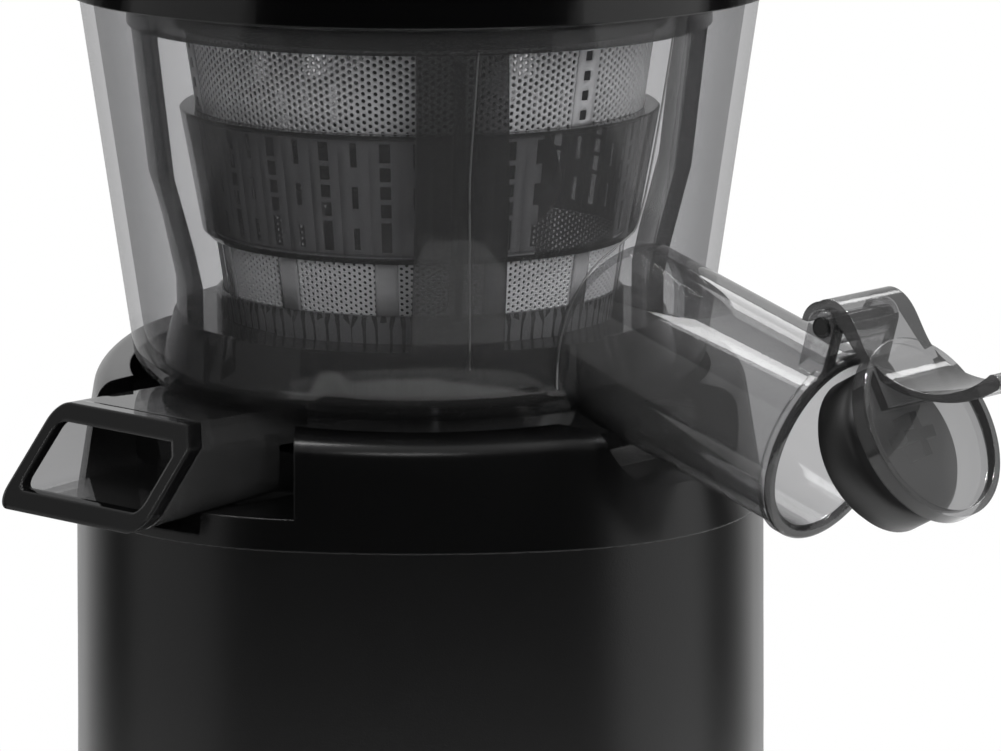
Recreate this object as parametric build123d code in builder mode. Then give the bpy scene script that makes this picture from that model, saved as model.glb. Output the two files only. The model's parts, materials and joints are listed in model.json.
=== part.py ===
from build123d import *
import math
import os

# Upright cold press juicer: a motor base with a glossy shoulder, a clear juicing bowl with a
# slanting juice tube and a pulp chute, a conical strainer, a spinning brush cage, an auger,
# and a lid with a wide feed tube and pusher. Millimetres, +Z up, front towards -Y, the
# origin on the resting surface under the drive axis.

os.makedirs("parts", exist_ok=True)

# ---------------------------------------------------------------- driving dimensions
lift_gap = 0.3          # between pieces that lift out of each other
seat_gap = 0.2          # under a piece that rests on its seat
run_gap = 0.05          # radial clearance of a shaft in its bearing
skin = 2.6              # wall of the moulded base housing

# motor base
foot_height = 4.0
foot_radius = 9.0
foot_recess = 1.0
foot_chamfer = 1.0
foot_spread = 44.0      # feet stand at plus and minus this in X and Y
boss_spread = 54.5      # screw bosses, likewise
boss_radius, boss_height = 7.0, 18.0
screw_radius, screw_length = 1.6, 14.0
screw_head_radius, screw_head_height = 3.2, 1.6
seam_half_width = 78.5  # base housing at the seam under the shoulder
seam_half_depth = 79.5
base_flare = 1.5        # how much wider the housing stands at its foot
side_bulge = 15.6       # rise of each bulging side over its corner
corner_radius = 60.0
seam_z = 173.5
bottom_plate_thick = 3.0
vent_ring_radius, vent_count = 21.0, 12     # air slots under the fan
vent_length, vent_width = 16.0, 3.4

# glossy shoulder that carries the bowl
shoulder_height = 34.0
shoulder_taper = 5.6    # each side leans in by this over the height
shoulder_mid_z = 202.0  # height of the sloping top over the axis
shoulder_slope = 3.4    # degrees, low at the front
shoulder_round = 4.5
crater_radius = 66.3
crater_floor_z = 190.0
deck_thick = 5.0
pocket_radius = 50.0
shaft_hole_margin = 3.0     # room for the seal round the drive shaft
notch_gap = 1.8             # round the chute where it leaves the shoulder
saddle_left_x, saddle_back_y = -26.6, -50.0     # left end of the raised block between chute and tube
notch_lip_z = 180.5
trough_half_width = 24.5
trough_floor_z = 185.6
trough_round = 12.0

# clear juicing bowl
bowl_bottom_z = 199.0
bowl_floor = 3.0
bowl_wall = 3.0
bowl_rim_z = 292.0
bowl_foot_radius = 64.4     # where the cone would meet the bottom plane
bowl_rim_radius = 77.7
bowl_corner = 8.0
bowl_hub_bore = 9.0
bowl_foot_ring_radius = 49.0
hub_wall = 2.0
post_radius, post_spread = 3.0, 37.0
outlet_boss_height = 5.8    # raised walls that carry the strainer over the gears

# juice tube and its cap
tube_azimuth = -40.4
tube_fall = 17.7
tube_radius = 21.0
tube_wall = 2.0
tube_length = 76.0
tube_bead = 1.0
tube_lead_in = 0.8          # chamfer inside the mouth, for the stopper
mouth_centre = (90.5, -83.0, 198.0)
hinge_rise = 28.2           # cap hinge over the tube's axis
hinge_back = 4.3            # and behind the mouth
cap_open = 46.4             # the cap stands open by this angle
pin_radius = 2.2
pin_overhang = 0.3
ear_radius = 3.6
ear_width = 3.0
ear_drop = 11.5             # the ears reach down into the tube's wall
ear_front_flare, ear_back_taper = 0.4, 0.6
knuckle_half = 8.0
lever_half = 11.0
lever_sheet = 1.6
lever_gap = 0.4             # between the lever's curl and the ears
lever_start_angle = 140.0
lever_outer_edge = [(5.2, 4.2), (7.4, 1.0), (8.2, -5.0), (8.7, -11.0), (13.4, -18.7), (22.1, -24.4), (36.0, -25.6)]
lever_inner_edge = [(4.9, -5.0), (6.3, -10.6), (9.7, -17.0), (16.8, -23.3), (26.3, -27.9), (36.0, -29.2)]
lever_tip = (37.8, -27.4)
disc_radius = 20.5
disc_front = 8.9            # outer face of the disc, ahead of the hinge
disc_back = 5.2
disc_wall = 1.6
stopper_lip_radius, stopper_lip = 18.8, 1.6     # sealing lip next to the disc
stopper_radius = 18.2       # slim enough to swing clear of the mouth
stopper_back = -5.6
stopper_hollow_radius = 13.0
stopper_floor = 2.5
stopper_round = 1.5

# pulp chute
chute_azimuth = 226.2
chute_offset = -12.0        # the chute runs beside the axis, not through it
chute_width = 46.6
chute_wall = 2.2
chute_start = 18.0
chute_step = 56.0           # the deep part starts here
chute_roof_lip = 79.5
chute_floor_lip = 98.8
chute_floor_z = 177.6
chute_step_floor_z = 180.4
chute_shallow_z = 191.7
chute_bevel = 4.5           # along the roof's edge on the right
chute_round = 4.0           # the other three long edges
chute_rim, chute_rim_depth = 3.6, 3.0       # thicker frame round the mouth
outlet_near, outlet_far = 22.0, 37.0
outlet_side_a, outlet_side_b = -20.0, -2.0
outlet_wall, outlet_corner = 2.0, 3.0

# conical strainer
screen_top_z = 280.4
screen_top_radius = 53.6
screen_bottom_radius = 43.3
screen_thick = 0.6
strainer_top_z = 286.6
strainer_base_thick = 2.6
neck_hole_radius = 17.2
belt_top_z, belt_bottom_z = 261.4, 232.0
belt_top_stand, belt_bottom_stand = 3.7, 3.0    # how far the belt stands out over the sieve
belt_lip = 1.5              # bevel under the belt
rib_count = 8
rib_phase = 16.0            # degrees past the cage's front arm
rib_width = 6.6
rib_thick = 0.6
strainer_foot_height, strainer_foot_stand = 12.0, 1.7   # cup that holds the sieve's foot
strainer_ring_inset, strainer_ring_reach = 2.6, 2.4     # top ring, to either side of the sieve's edge

# brush cage
cage_ring_radius = 59.2
cage_ring_inner = 48.6
cage_ring_height = 12.1
cage_ring_chamfer = 1.5
cage_top_ring_z = 280.6
cage_top_ring_height = 4.6
cage_top_reach = 2.7        # the top ring stands out over the arms
arm_count = 4
arm_phase = -80.7           # azimuth of the front arm
arm_width = 20.5
arm_thick = 1.8
arm_clear = 5.8             # room for juice between the strainer's ring and the arms
arm_knee_z = 247.0
arm_foot_radius = 56.5
blade_thick = 1.6
blade_gap = 0.5             # between the blades and what they wipe
blade_top_z = 278.0

# auger
auger_bottom_radius = 40.2
auger_top_radius = 25.0
auger_neck_height = 4.3     # from the gear to the flights
auger_flight_top_z = 276.0
auger_core_bottom_radius = 27.0
auger_core_top_radius = 12.0
auger_twist = 320.0
flight_angle = 24.0         # each of the two flights spans this in plan
auger_neck_radius = 16.2
auger_shoulder_height = 8.0     # cone between the flights and the upper pin
socket_play = 0.15
auger_pin_radius = 5.0
auger_pin_top_z = 296.0
socket_radius, socket_bottom_z, socket_top_z = 9.0, 208.5, 226.0

# bowl gears: auger gear, idler and the cage's inner ring
bowl_gear_module = 1.5
auger_teeth, idler_teeth, cage_teeth = 20, 22, 64
bowl_gear_gap = 0.3         # over the bowl floor
bowl_gear_height = 4.8
idler_azimuth = 60.0
idler_pin_radius = 3.0

# gearbox: two stages on one centre distance
pressure_angle = 25.0
stage_a_module, stage_b_module = 0.9, 1.4
motor_teeth, first_teeth = 12, 58
second_teeth, output_teeth = 10, 35
stage_a_z, stage_a_height = 132.0, 8.0
stage_b_z, stage_b_height = 144.0, 14.0
gearbox_bottom_z, gearbox_wall, gearbox_top_z = 124.0, 4.0, 166.0
gearbox_room = 29.0         # inside radius round each of the two shafts
tower_radius, tower_top_z = 16.0, 184.0
bearing_radius, bearing_height = 13.0, 6.0
hanger_radius, hanger_spread = 5.0, 27.0
flank_play = 0.06
tooth_height = 0.8          # stub addendum in modules
lug_radius, lug_out = 4.2, 2.0      # screw lugs beside the case
lug_front_y, lug_back_y = -6.0, 37.5
gearbox_screw_depth = 10.0
shaft_end_wall = 1.0                # left under and over the countershaft's bearings

# motor
motor_radius = 38.0
motor_bottom_z, motor_top_z = 34.0, 124.0
bell_thick = 8.0
bell_window_spread, bell_window_count = 24.0, 6
bell_window_length, bell_window_width = 16.0, 7.0
stator_core_bottom_z, stator_core_top_z = 58.0, 96.0
stator_bore = 21.0
stator_slot_spread, stator_slot_count = 26.0, 12
stator_slot_length, stator_slot_width, stator_slot_corner = 8.0, 4.4, 1.5
winding_inset, winding_clear = 3.0, 1.5     # from the can, and from the bore
rotor_radius = 20.4
can_wall = 1.6
rotor_bottom_z, rotor_top_z = 60.0, 94.0
winding_reach = 10.0        # copper standing out past each end of the core
motor_shaft_radius = 3.0
motor_shaft_bottom_z, motor_shaft_top_z = 14.0, 141.0
motor_bearing_radius = 8.0
countershaft_radius = 4.0
drive_shaft_radius = 6.0
drive_shaft_bottom_z = 143.0
hex_chamfer = 0.8
hex_flat = 10.0             # across the flats
hex_top_z = 224.0
hex_bottom_z = 200.0
fan_z, fan_radius, fan_height = 16.0, 30.0, 12.0
fan_blades = 9
fan_hub_radius = 9.0
fan_sheet, fan_blade_angle = 1.6, 12.0
fan_blade_inset = 1.0       # blades stop short of the rim by this

# control board on the bottom plate
board_centre, board_size = (-56.0, 0.0), (24.0, 44.0)
board_bottom_z, board_thick = 14.0, 1.6
standoff_radius, standoff_inset = 2.4, 3.0
capacitor_radius, capacitor_height, capacitor_shift = 9.0, 26.0, 11.0
relay_length, relay_width, relay_height, relay_shift = 16.0, 10.0, 9.0, -12.0

# lid, feed tube and pusher
lid_thick = 2.6
lid_skirt_radius, lid_skirt_wall, lid_skirt_round = 80.4, 2.0, 1.2
lid_crown_radius, lid_brow_radius = 50.0, 72.0  # the top is flat inside the first, slopes to the second
lid_edge_height, lid_brow_rise = 4.0, 1.8
lid_ring_wall, lid_ring_gap = 1.6, 0.5          # ring that presses on the strainer
lid_ceiling_radius = 44.0
lid_skirt_bottom_z = 287.5
lid_inner_skirt_radius = 68.8
lid_inner_skirt_bottom_z = 286.0
lid_top_z = 304.0
feed_bore = 37.0
feed_wall = 2.6
feed_offset = 14.0          # towards the back
feed_top_z = 405.0
feed_fillet, feed_fillet_taper = 3.0, 40.0      # cone at the foot of the feed tube
pusher_gap = 0.5
pusher_bottom_z = 308.0
pusher_wall, pusher_nose = 2.4, 2.0
pusher_flange_radius, pusher_flange_height = 41.0, 5.0
flange_chamfer = 1.5
grip_height = 37.0          # over the flange
grip_neck_radius, grip_radius = 14.0, 20.0
grip_head_height, grip_head_taper, grip_dome, grip_dome_inset = 16.0, 8.0, 2.0, 6.0
lid_hub_radius, lid_hub_bottom_z = 9.0, 286.6
seal_height = 3.0
lid_bridge_width = 8.0

# switch and cord outlet, both on the back
switch_x, switch_z = 0.0, 62.0
switch_width, switch_height = 24.0, 34.0
switch_depth, switch_frame, switch_seat = 16.0, 2.0, 1.0
switch_corner, switch_floor = 2.5, 3.0
rocker_width, rocker_height = 17.4, 24.8
rocker_swing_room = 1.3     # over and under the rocker when it tips
rocker_end_rise, rocker_middle_rise, rocker_end_depth, rocker_keel = 4.0, 2.6, 3.0, 6.0
rocker_pivot_depth = 2.2    # pivot behind the frame's face
rocker_pin_radius, rocker_pin_length = 1.5, 1.6
gland_x, gland_z = 0.0, 24.0
gland_radius, cord_bore = 7.0, 3.6
gland_flange_radius, gland_flange_thick, gland_reach = 9.5, 2.4, 12.0
gland_seat = 0.4


# ---------------------------------------------------------------- shared shapes
def heading(azimuth):
    """Unit vector at this angle from +X in the ground plane."""
    return Vector(math.cos(math.radians(azimuth)), math.sin(math.radians(azimuth)), 0)


def pillow(z, half_width, half_depth, corner):
    """Face with four bulging sides and large round corners: the plan of the base."""
    x, y = half_width - side_bulge, half_depth - side_bulge
    with BuildSketch(Plane.XY.offset(z)) as outline:
        with BuildLine():
            ThreePointArc((-x, -y), (0, -half_depth), (x, -y))
            ThreePointArc((x, -y), (half_width, 0), (x, y))
            ThreePointArc((x, y), (0, half_depth), (-x, y))
            ThreePointArc((-x, y), (-half_width, 0), (-x, -y))
        make_face()
        fillet(outline.vertices(), corner)
    return outline.sketch.face()


def turned(profile, centre=(0, 0)):
    """Solid of revolution about the vertical through centre, from (radius, z) points."""
    plane = Plane(origin=(centre[0], centre[1], 0), x_dir=(1, 0, 0), z_dir=(0, -1, 0))
    with BuildPart() as body:
        with BuildSketch(plane):
            with BuildLine():
                Polyline(*profile, close=True)
            make_face()
        revolve(axis=Axis((centre[0], centre[1], 0), (0, 0, 1)))
    return body.part


def washer(outer, inner, bottom, top, centre=(0, 0)):
    """Plain ring or, with no inner radius, plain cylinder."""
    return turned([(inner, bottom), (outer, bottom), (outer, top), (inner, top)], centre)


def involute(angle):
    """Involute function of an angle in radians."""
    return math.tan(angle) - angle


def gear_points(teeth, module, inward=tooth_height, outward=tooth_height, play=flank_play, phase=0.0):
    """Outline of a stub involute gear, one tooth centred on phase (degrees)."""
    pitch_radius = teeth * module / 2
    slope = math.radians(pressure_angle)
    base_radius = pitch_radius * math.cos(slope)
    low, high = pitch_radius - inward * module, pitch_radius + outward * module
    half_at_pitch = math.pi / (2 * teeth) - play / pitch_radius + involute(slope)

    def half_angle(radius):
        return half_at_pitch - involute(math.acos(min(1.0, base_radius / radius)))

    flank = [(low, half_angle(low)), (pitch_radius, half_angle(pitch_radius)), (high, half_angle(high))]
    points = []
    for tooth in range(teeth):
        middle = math.radians(phase) + 2 * math.pi * tooth / teeth
        turn = [(r, middle - a) for r, a in flank] + [(r, middle + a) for r, a in reversed(flank)]
        points += [(r * math.cos(a), r * math.sin(a)) for r, a in turn]
    return points


def gear_wheel(points, bottom, height, bore, centre=(0, 0)):
    """Gear with a round bore from its outline."""
    with BuildPart() as wheel:
        with BuildSketch(Plane.XY.offset(bottom)):
            with Locations(centre):
                Polygon(*points, align=None)
                Circle(bore, mode=Mode.SUBTRACT)
        extrude(amount=height)
    return wheel.part


def hexagon_radius(across_flats):
    """Corner radius of a hexagon."""
    return across_flats / math.sqrt(3)


root_depth = 1.05           # dedendum in modules
gear_axis_distance = (motor_teeth + first_teeth) * stage_a_module / 2
counter_azimuth = 90.0
counter_centre = tuple(heading(counter_azimuth) * gear_axis_distance)[:2]

# ---------------------------------------------------------------- base housing
housing_bottom_z = foot_height - foot_recess
plate_top_z = foot_height + bottom_plate_thick
back_face_y = seam_half_depth + base_flare * (seam_z - switch_z) / seam_z
switch_seat_y = back_face_y - switch_seat
gland_seat_y = back_face_y - gland_seat
cut_depth = 12.0            # reaches through the housing's back wall
cut_height = 60.0           # reaches out over the top of the shoulder
reach_out = 130.0           # radius past every outer face


def back_plane(x, z, y):
    """Plane facing backwards, with its sketch upright."""
    return Plane(origin=(x, y, z), x_dir=(-1, 0, 0), z_dir=(0, 1, 0))


with BuildPart() as housing_block:
    loft(sections=[
        pillow(housing_bottom_z, seam_half_width + base_flare, seam_half_depth + base_flare, corner_radius),
        pillow(seam_z, seam_half_width, seam_half_depth, corner_radius),
    ], ruled=True)

with BuildPart() as housing_hollow:
    loft(sections=[
        pillow(housing_bottom_z - 1, seam_half_width + base_flare - skin,
               seam_half_depth + base_flare - skin, corner_radius - skin),
        pillow(seam_z + 1, seam_half_width - skin, seam_half_depth - skin, corner_radius - skin),
    ], ruled=True)

with BuildPart() as housing_bosses:
    with BuildSketch(Plane.XY.offset(plate_top_z)):
        with GridLocations(2 * boss_spread, 2 * boss_spread, 2, 2):
            Circle(boss_radius)
            Circle(screw_radius + run_gap, mode=Mode.SUBTRACT)
    extrude(amount=boss_height)
    add(housing_block.part, mode=Mode.INTERSECT)

with BuildPart() as base_housing:
    add(housing_block.part)
    add(housing_hollow.part, mode=Mode.SUBTRACT)
    add(housing_bosses.part)
    with BuildSketch(back_plane(switch_x, switch_z, back_face_y - cut_depth)):
        Rectangle(switch_width, switch_height)
    extrude(amount=2 * cut_depth, mode=Mode.SUBTRACT)
    with BuildSketch(back_plane(gland_x, gland_z, back_face_y - cut_depth)):
        Circle(gland_radius)
    extrude(amount=2 * cut_depth, mode=Mode.SUBTRACT)
    # flat seats for the switch frame and the gland flange on the bulging back
    with BuildSketch(back_plane(switch_x, switch_z, switch_seat_y)):
        Rectangle(switch_width + 2 * switch_frame + 2 * seat_gap, switch_height + 2 * switch_frame + 2 * seat_gap)
    extrude(amount=cut_depth, mode=Mode.SUBTRACT)
    with BuildSketch(back_plane(gland_x, gland_z, gland_seat_y)):
        Circle(gland_flange_radius + seat_gap)
    extrude(amount=cut_depth, mode=Mode.SUBTRACT)
base_housing.part.label = "base_housing"
export_step(base_housing.part, "parts/base_housing.step")

# ---------------------------------------------------------------- bottom plate, feet and screws
plate_gap = lift_gap
corners = [(-1, -1), (1, -1), (1, 1), (-1, 1)]
foot_places = [(x * foot_spread, y * foot_spread) for x, y in corners]
boss_places = [(x * boss_spread, y * boss_spread) for x, y in corners]

with BuildPart() as bottom_plate:
    plate_shrink = skin + plate_gap
    loft(sections=[
        pillow(foot_height, seam_half_width + base_flare - plate_shrink,
               seam_half_depth + base_flare - plate_shrink, corner_radius - plate_shrink),
        pillow(plate_top_z, seam_half_width + base_flare - plate_shrink,
               seam_half_depth + base_flare - plate_shrink, corner_radius - plate_shrink),
    ], ruled=True)
    # shallow seats for the feet, screw holes, and a ring of air slots under the fan
    with BuildSketch(Plane.XY.offset(foot_height)):
        with Locations(*foot_places):
            Circle(foot_radius + run_gap)
    extrude(amount=foot_recess, mode=Mode.SUBTRACT)
    with BuildSketch(Plane.XY.offset(foot_height)):
        with Locations(*boss_places):
            Circle(screw_radius + run_gap)
        with PolarLocations(vent_ring_radius, vent_count):
            SlotOverall(vent_length, vent_width)
    extrude(amount=bottom_plate_thick, mode=Mode.SUBTRACT)
    with BuildSketch(Plane.XY.offset(foot_height)):
        with Locations(*boss_places):
            Circle(screw_head_radius + run_gap)
    extrude(amount=screw_head_height, mode=Mode.SUBTRACT)
    with BuildSketch(Plane.XY.offset(plate_top_z)):
        with Locations(board_centre):
            with GridLocations(board_size[0] - 2 * standoff_inset, board_size[1] - 2 * standoff_inset, 2, 2):
                Circle(standoff_radius)
    extrude(amount=board_bottom_z - plate_top_z)
bottom_plate.part.label = "bottom_plate"
export_step(bottom_plate.part, "parts/bottom_plate.step")

with BuildPart() as rubber_feet:
    with BuildSketch():
        with Locations(*foot_places):
            Circle(foot_radius)
    extrude(amount=foot_height + foot_recess)
    chamfer(rubber_feet.edges().group_by(Axis.Z)[0], foot_chamfer)
rubber_feet.part.label = "rubber_feet"
export_step(rubber_feet.part, "parts/rubber_feet.step")

with BuildPart() as bottom_screws:
    with BuildSketch(Plane.XY.offset(foot_height)):
        with Locations(*boss_places):
            Circle(screw_head_radius)
    extrude(amount=screw_head_height)
    with BuildSketch(Plane.XY.offset(foot_height)):
        with Locations(*boss_places):
            Circle(screw_radius)
    extrude(amount=screw_length)
bottom_screws.part.label = "bottom_screws"
export_step(bottom_screws.part, "parts/bottom_screws.step")

# ---------------------------------------------------------------- glossy shoulder
chute_way, chute_side = heading(chute_azimuth), heading(chute_azimuth + 90)
tube_way = heading(tube_azimuth)
chute_plane = Plane(origin=chute_side * chute_offset, x_dir=chute_way, z_dir=-chute_side)
deck_bottom_z = crater_floor_z - deck_thick

with BuildPart() as shoulder:
    loft(sections=[
        pillow(seam_z, seam_half_width, seam_half_depth, corner_radius),
        pillow(seam_z + shoulder_height, seam_half_width - shoulder_taper,
               seam_half_depth - shoulder_taper, corner_radius - shoulder_taper),
    ], ruled=True)
    top_plane = Plane(origin=(0, 0, shoulder_mid_z), x_dir=(1, 0, 0),
                      z_dir=(0, -math.sin(math.radians(shoulder_slope)), math.cos(math.radians(shoulder_slope))))
    split(bisect_by=top_plane, keep=Keep.BOTTOM)
    level_faces = shoulder.faces().filter_by(lambda f: abs(f.normal_at().dot(top_plane.z_dir)) > 0.9999)
    fillet(level_faces.sort_by(Axis.Z)[-1].edges(), shoulder_round)
    # crater that receives the bowl, shaft hole, and the hollow under the deck
    with BuildSketch(Plane.XY.offset(crater_floor_z)):
        Circle(crater_radius)
    extrude(amount=shoulder_height, mode=Mode.SUBTRACT)
    with BuildSketch(Plane.XY.offset(seam_z)):
        Circle(drive_shaft_radius + shaft_hole_margin)
    extrude(amount=crater_floor_z - seam_z, mode=Mode.SUBTRACT)
    with BuildSketch(Plane.XY.offset(seam_z)):
        Circle(pocket_radius)
    extrude(amount=deck_bottom_z - seam_z, mode=Mode.SUBTRACT)
    # way out for the pulp chute: a deep channel under it and a shallower step beside it
    with BuildSketch(chute_plane):
        with Locations(((chute_step + reach_out) / 2 - notch_gap, chute_floor_z - notch_gap + cut_height / 2)):
            Rectangle(reach_out - chute_step, cut_height)
    extrude(amount=chute_width / 2 + notch_gap, both=True, mode=Mode.SUBTRACT)
    with BuildSketch(Plane.XY.offset(notch_lip_z)):
        with BuildLine():
            inner = chute_way * (chute_step - notch_gap)
            outer = chute_way * reach_out
            Polyline(tuple(inner)[:2], tuple(outer)[:2], (saddle_left_x, -reach_out),
                     (saddle_left_x, saddle_back_y), close=True)
        make_face()
    extrude(amount=cut_height, mode=Mode.SUBTRACT)
    # round-bottomed trough under the juice tube
    trough_plane = Plane(origin=tube_way * (crater_radius - deck_thick) + Vector(0, 0, trough_floor_z),
                         x_dir=heading(tube_azimuth + 90), z_dir=tube_way)
    with BuildSketch(trough_plane) as trough:
        with Locations((0, cut_height / 2)):
            Rectangle(2 * trough_half_width, cut_height)
        fillet(trough.vertices().group_by(Axis.Z)[0], trough_round)
    extrude(amount=cut_height, mode=Mode.SUBTRACT)
shoulder.part.label = "shoulder"
export_step(shoulder.part, "parts/shoulder.step")

# ---------------------------------------------------------------- motor
can_inner = motor_radius - can_wall
lower_bell_top_z = motor_bottom_z + bell_thick
upper_bell_bottom_z = motor_top_z - bell_thick

motor_can = washer(motor_radius, can_inner, lower_bell_top_z, upper_bell_bottom_z)
motor_can.label = "motor_can"
export_step(motor_can, "parts/motor_can.step")


def bell(bottom, bearing_bottom):
    """End bell of the motor: disc with six windows and a pocket for its bearing."""
    with BuildPart() as disc:
        with BuildSketch(Plane.XY.offset(bottom)):
            Circle(motor_radius)
            Circle(motor_shaft_radius + lift_gap, mode=Mode.SUBTRACT)
            with PolarLocations(bell_window_spread, bell_window_count):
                SlotOverall(bell_window_length, bell_window_width, rotation=90, mode=Mode.SUBTRACT)
        extrude(amount=bell_thick)
        with BuildSketch(Plane.XY.offset(bearing_bottom)):
            Circle(motor_bearing_radius)
        extrude(amount=bearing_height, mode=Mode.SUBTRACT)
    return disc.part


lower_bell = bell(motor_bottom_z, lower_bell_top_z - bearing_height)
lower_bell.label = "lower_bell"
export_step(lower_bell, "parts/lower_bell.step")

upper_bell = bell(upper_bell_bottom_z, upper_bell_bottom_z)
upper_bell.label = "upper_bell"
export_step(upper_bell, "parts/upper_bell.step")

with BuildPart() as stator_core:
    with BuildSketch(Plane.XY.offset(stator_core_bottom_z)):
        Circle(can_inner)
        Circle(stator_bore, mode=Mode.SUBTRACT)
        with PolarLocations(stator_slot_spread, stator_slot_count):
            RectangleRounded(stator_slot_length, stator_slot_width, stator_slot_corner, mode=Mode.SUBTRACT)
    extrude(amount=stator_core_top_z - stator_core_bottom_z)
stator_core.part.label = "stator_core"
export_step(stator_core.part, "parts/stator_core.step")

with BuildPart() as stator_windings:
    for low, high in ((stator_core_bottom_z - winding_reach, stator_core_bottom_z),
                      (stator_core_top_z, stator_core_top_z + winding_reach)):
        add(washer(can_inner - winding_inset, stator_bore + winding_clear, low, high))
stator_windings.part.label = "stator_windings"
export_step(stator_windings.part, "parts/stator_windings.step")

rotor = washer(rotor_radius, motor_shaft_radius, rotor_bottom_z, rotor_top_z)
rotor.label = "rotor"
export_step(rotor, "parts/rotor.step")

motor_shaft = washer(motor_shaft_radius, 0, motor_shaft_bottom_z, motor_shaft_top_z)
motor_shaft.label = "motor_shaft"
export_step(motor_shaft, "parts/motor_shaft.step")

with BuildPart() as cooling_fan:
    with BuildSketch(Plane.XY.offset(fan_z)):
        Circle(fan_hub_radius)
    extrude(amount=fan_height)
    with BuildSketch(Plane.XY.offset(fan_z)):
        Circle(fan_radius)
    extrude(amount=fan_sheet)
    with BuildSketch(Plane.XY.offset(fan_z)):
        with PolarLocations(0, fan_blades):
            with Locations(((fan_hub_radius + fan_radius) / 2 - fan_blade_inset, 0)):
                Rectangle(fan_radius - fan_hub_radius, fan_sheet, rotation=fan_blade_angle)
    extrude(amount=fan_height)
    with BuildSketch(Plane.XY.offset(fan_z)):
        Circle(motor_shaft_radius)
    extrude(amount=fan_height, mode=Mode.SUBTRACT)
cooling_fan.part.label = "cooling_fan"
export_step(cooling_fan.part, "parts/cooling_fan.step")

# ---------------------------------------------------------------- gearbox
gearbox_floor_z = gearbox_bottom_z + gearbox_wall
cover_bottom_z = gearbox_top_z - gearbox_wall


def gearbox_outline(radius, bottom, height):
    """Figure of eight round the two shafts, as a solid."""
    with BuildPart() as slab:
        with BuildSketch(Plane.XY.offset(bottom)):
            Circle(radius)
            with Locations(counter_centre):
                Circle(radius)
            with Locations((counter_centre[0] / 2, counter_centre[1] / 2)):
                Rectangle(2 * radius, gear_axis_distance)
        extrude(amount=height)
    return slab.part


lug_x = gearbox_room + gearbox_wall + lug_out
screw_places = [(x, y) for x in (-lug_x, lug_x) for y in (lug_front_y, lug_back_y)]

with BuildPart() as gearbox_case:
    add(gearbox_outline(gearbox_room + gearbox_wall, gearbox_bottom_z, cover_bottom_z - gearbox_bottom_z))
    with BuildSketch(Plane.XY.offset(gearbox_bottom_z)):
        with Locations(*screw_places):
            Circle(lug_radius)
    extrude(amount=cover_bottom_z - gearbox_bottom_z)
    add(gearbox_outline(gearbox_room, gearbox_floor_z, cover_bottom_z), mode=Mode.SUBTRACT)
    with BuildSketch(Plane.XY.offset(gearbox_bottom_z)):
        Circle(motor_shaft_radius + lift_gap)
    extrude(amount=gearbox_wall, mode=Mode.SUBTRACT)
    with BuildSketch(Plane.XY.offset(gearbox_bottom_z + shaft_end_wall)):
        with Locations(counter_centre):
            Circle(countershaft_radius + run_gap)
    extrude(amount=gearbox_wall, mode=Mode.SUBTRACT)
    with BuildSketch(Plane.XY.offset(cover_bottom_z - gearbox_screw_depth - screw_radius)):
        with Locations(*screw_places):
            Circle(screw_radius + run_gap)
    extrude(amount=gearbox_screw_depth + screw_radius, mode=Mode.SUBTRACT)
gearbox_case.part.label = "gearbox_case"
export_step(gearbox_case.part, "parts/gearbox_case.step")

with BuildPart() as gearbox_cover:
    add(gearbox_outline(gearbox_room + gearbox_wall, cover_bottom_z, gearbox_wall))
    with BuildSketch(Plane.XY.offset(cover_bottom_z)):
        with Locations(*screw_places):
            Circle(lug_radius)
    extrude(amount=gearbox_wall)
    # tower for the drive shaft's two bearings, and hangers up to the shoulder's deck
    with BuildSketch(Plane.XY.offset(cover_bottom_z)):
        Circle(tower_radius)
    extrude(amount=tower_top_z - cover_bottom_z)
    with BuildSketch(Plane.XY.offset(cover_bottom_z)):
        with PolarLocations(hanger_spread, 3, start_angle=30):
            Circle(hanger_radius)
    extrude(amount=deck_bottom_z - cover_bottom_z)
    with BuildSketch(Plane.XY.offset(cover_bottom_z)):
        Circle(drive_shaft_radius + lift_gap)
        with Locations(*screw_places):
            Circle(screw_radius + run_gap)
    extrude(amount=deck_bottom_z - cover_bottom_z, mode=Mode.SUBTRACT)
    for low in (cover_bottom_z, tower_top_z - bearing_height):
        with BuildSketch(Plane.XY.offset(low)):
            Circle(bearing_radius)
        extrude(amount=bearing_height, mode=Mode.SUBTRACT)
    with BuildSketch(Plane.XY.offset(cover_bottom_z)):
        with Locations(counter_centre):
            Circle(countershaft_radius + run_gap)
    extrude(amount=gearbox_wall - shaft_end_wall, mode=Mode.SUBTRACT)
gearbox_cover.part.label = "gearbox_cover"
export_step(gearbox_cover.part, "parts/gearbox_cover.step")

with BuildPart() as gearbox_screws:
    with BuildSketch(Plane.XY.offset(cover_bottom_z - gearbox_screw_depth)):
        with Locations(*screw_places):
            Circle(screw_radius)
    extrude(amount=gearbox_wall + gearbox_screw_depth)
    with BuildSketch(Plane.XY.offset(gearbox_top_z)):
        with Locations(*screw_places):
            Circle(screw_head_radius)
    extrude(amount=screw_head_height)
gearbox_screws.part.label = "gearbox_screws"
export_step(gearbox_screws.part, "parts/gearbox_screws.step")

with BuildPart() as bearings:
    for low in (lower_bell_top_z - bearing_height, upper_bell_bottom_z):
        add(washer(motor_bearing_radius, motor_shaft_radius + run_gap, low, low + bearing_height))
    for low in (cover_bottom_z, tower_top_z - bearing_height):
        add(washer(bearing_radius, drive_shaft_radius + run_gap, low, low + bearing_height))
bearings.part.label = "bearings"
export_step(bearings.part, "parts/bearings.step")

# ---------------------------------------------------------------- gear train and drive shaft
toward, away = counter_azimuth, counter_azimuth + 180
motor_pinion = gear_wheel(gear_points(motor_teeth, stage_a_module, inward=root_depth, phase=toward),
                          stage_a_z, stage_a_height, motor_shaft_radius)
motor_pinion.label = "motor_pinion"
export_step(motor_pinion, "parts/motor_pinion.step")

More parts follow.
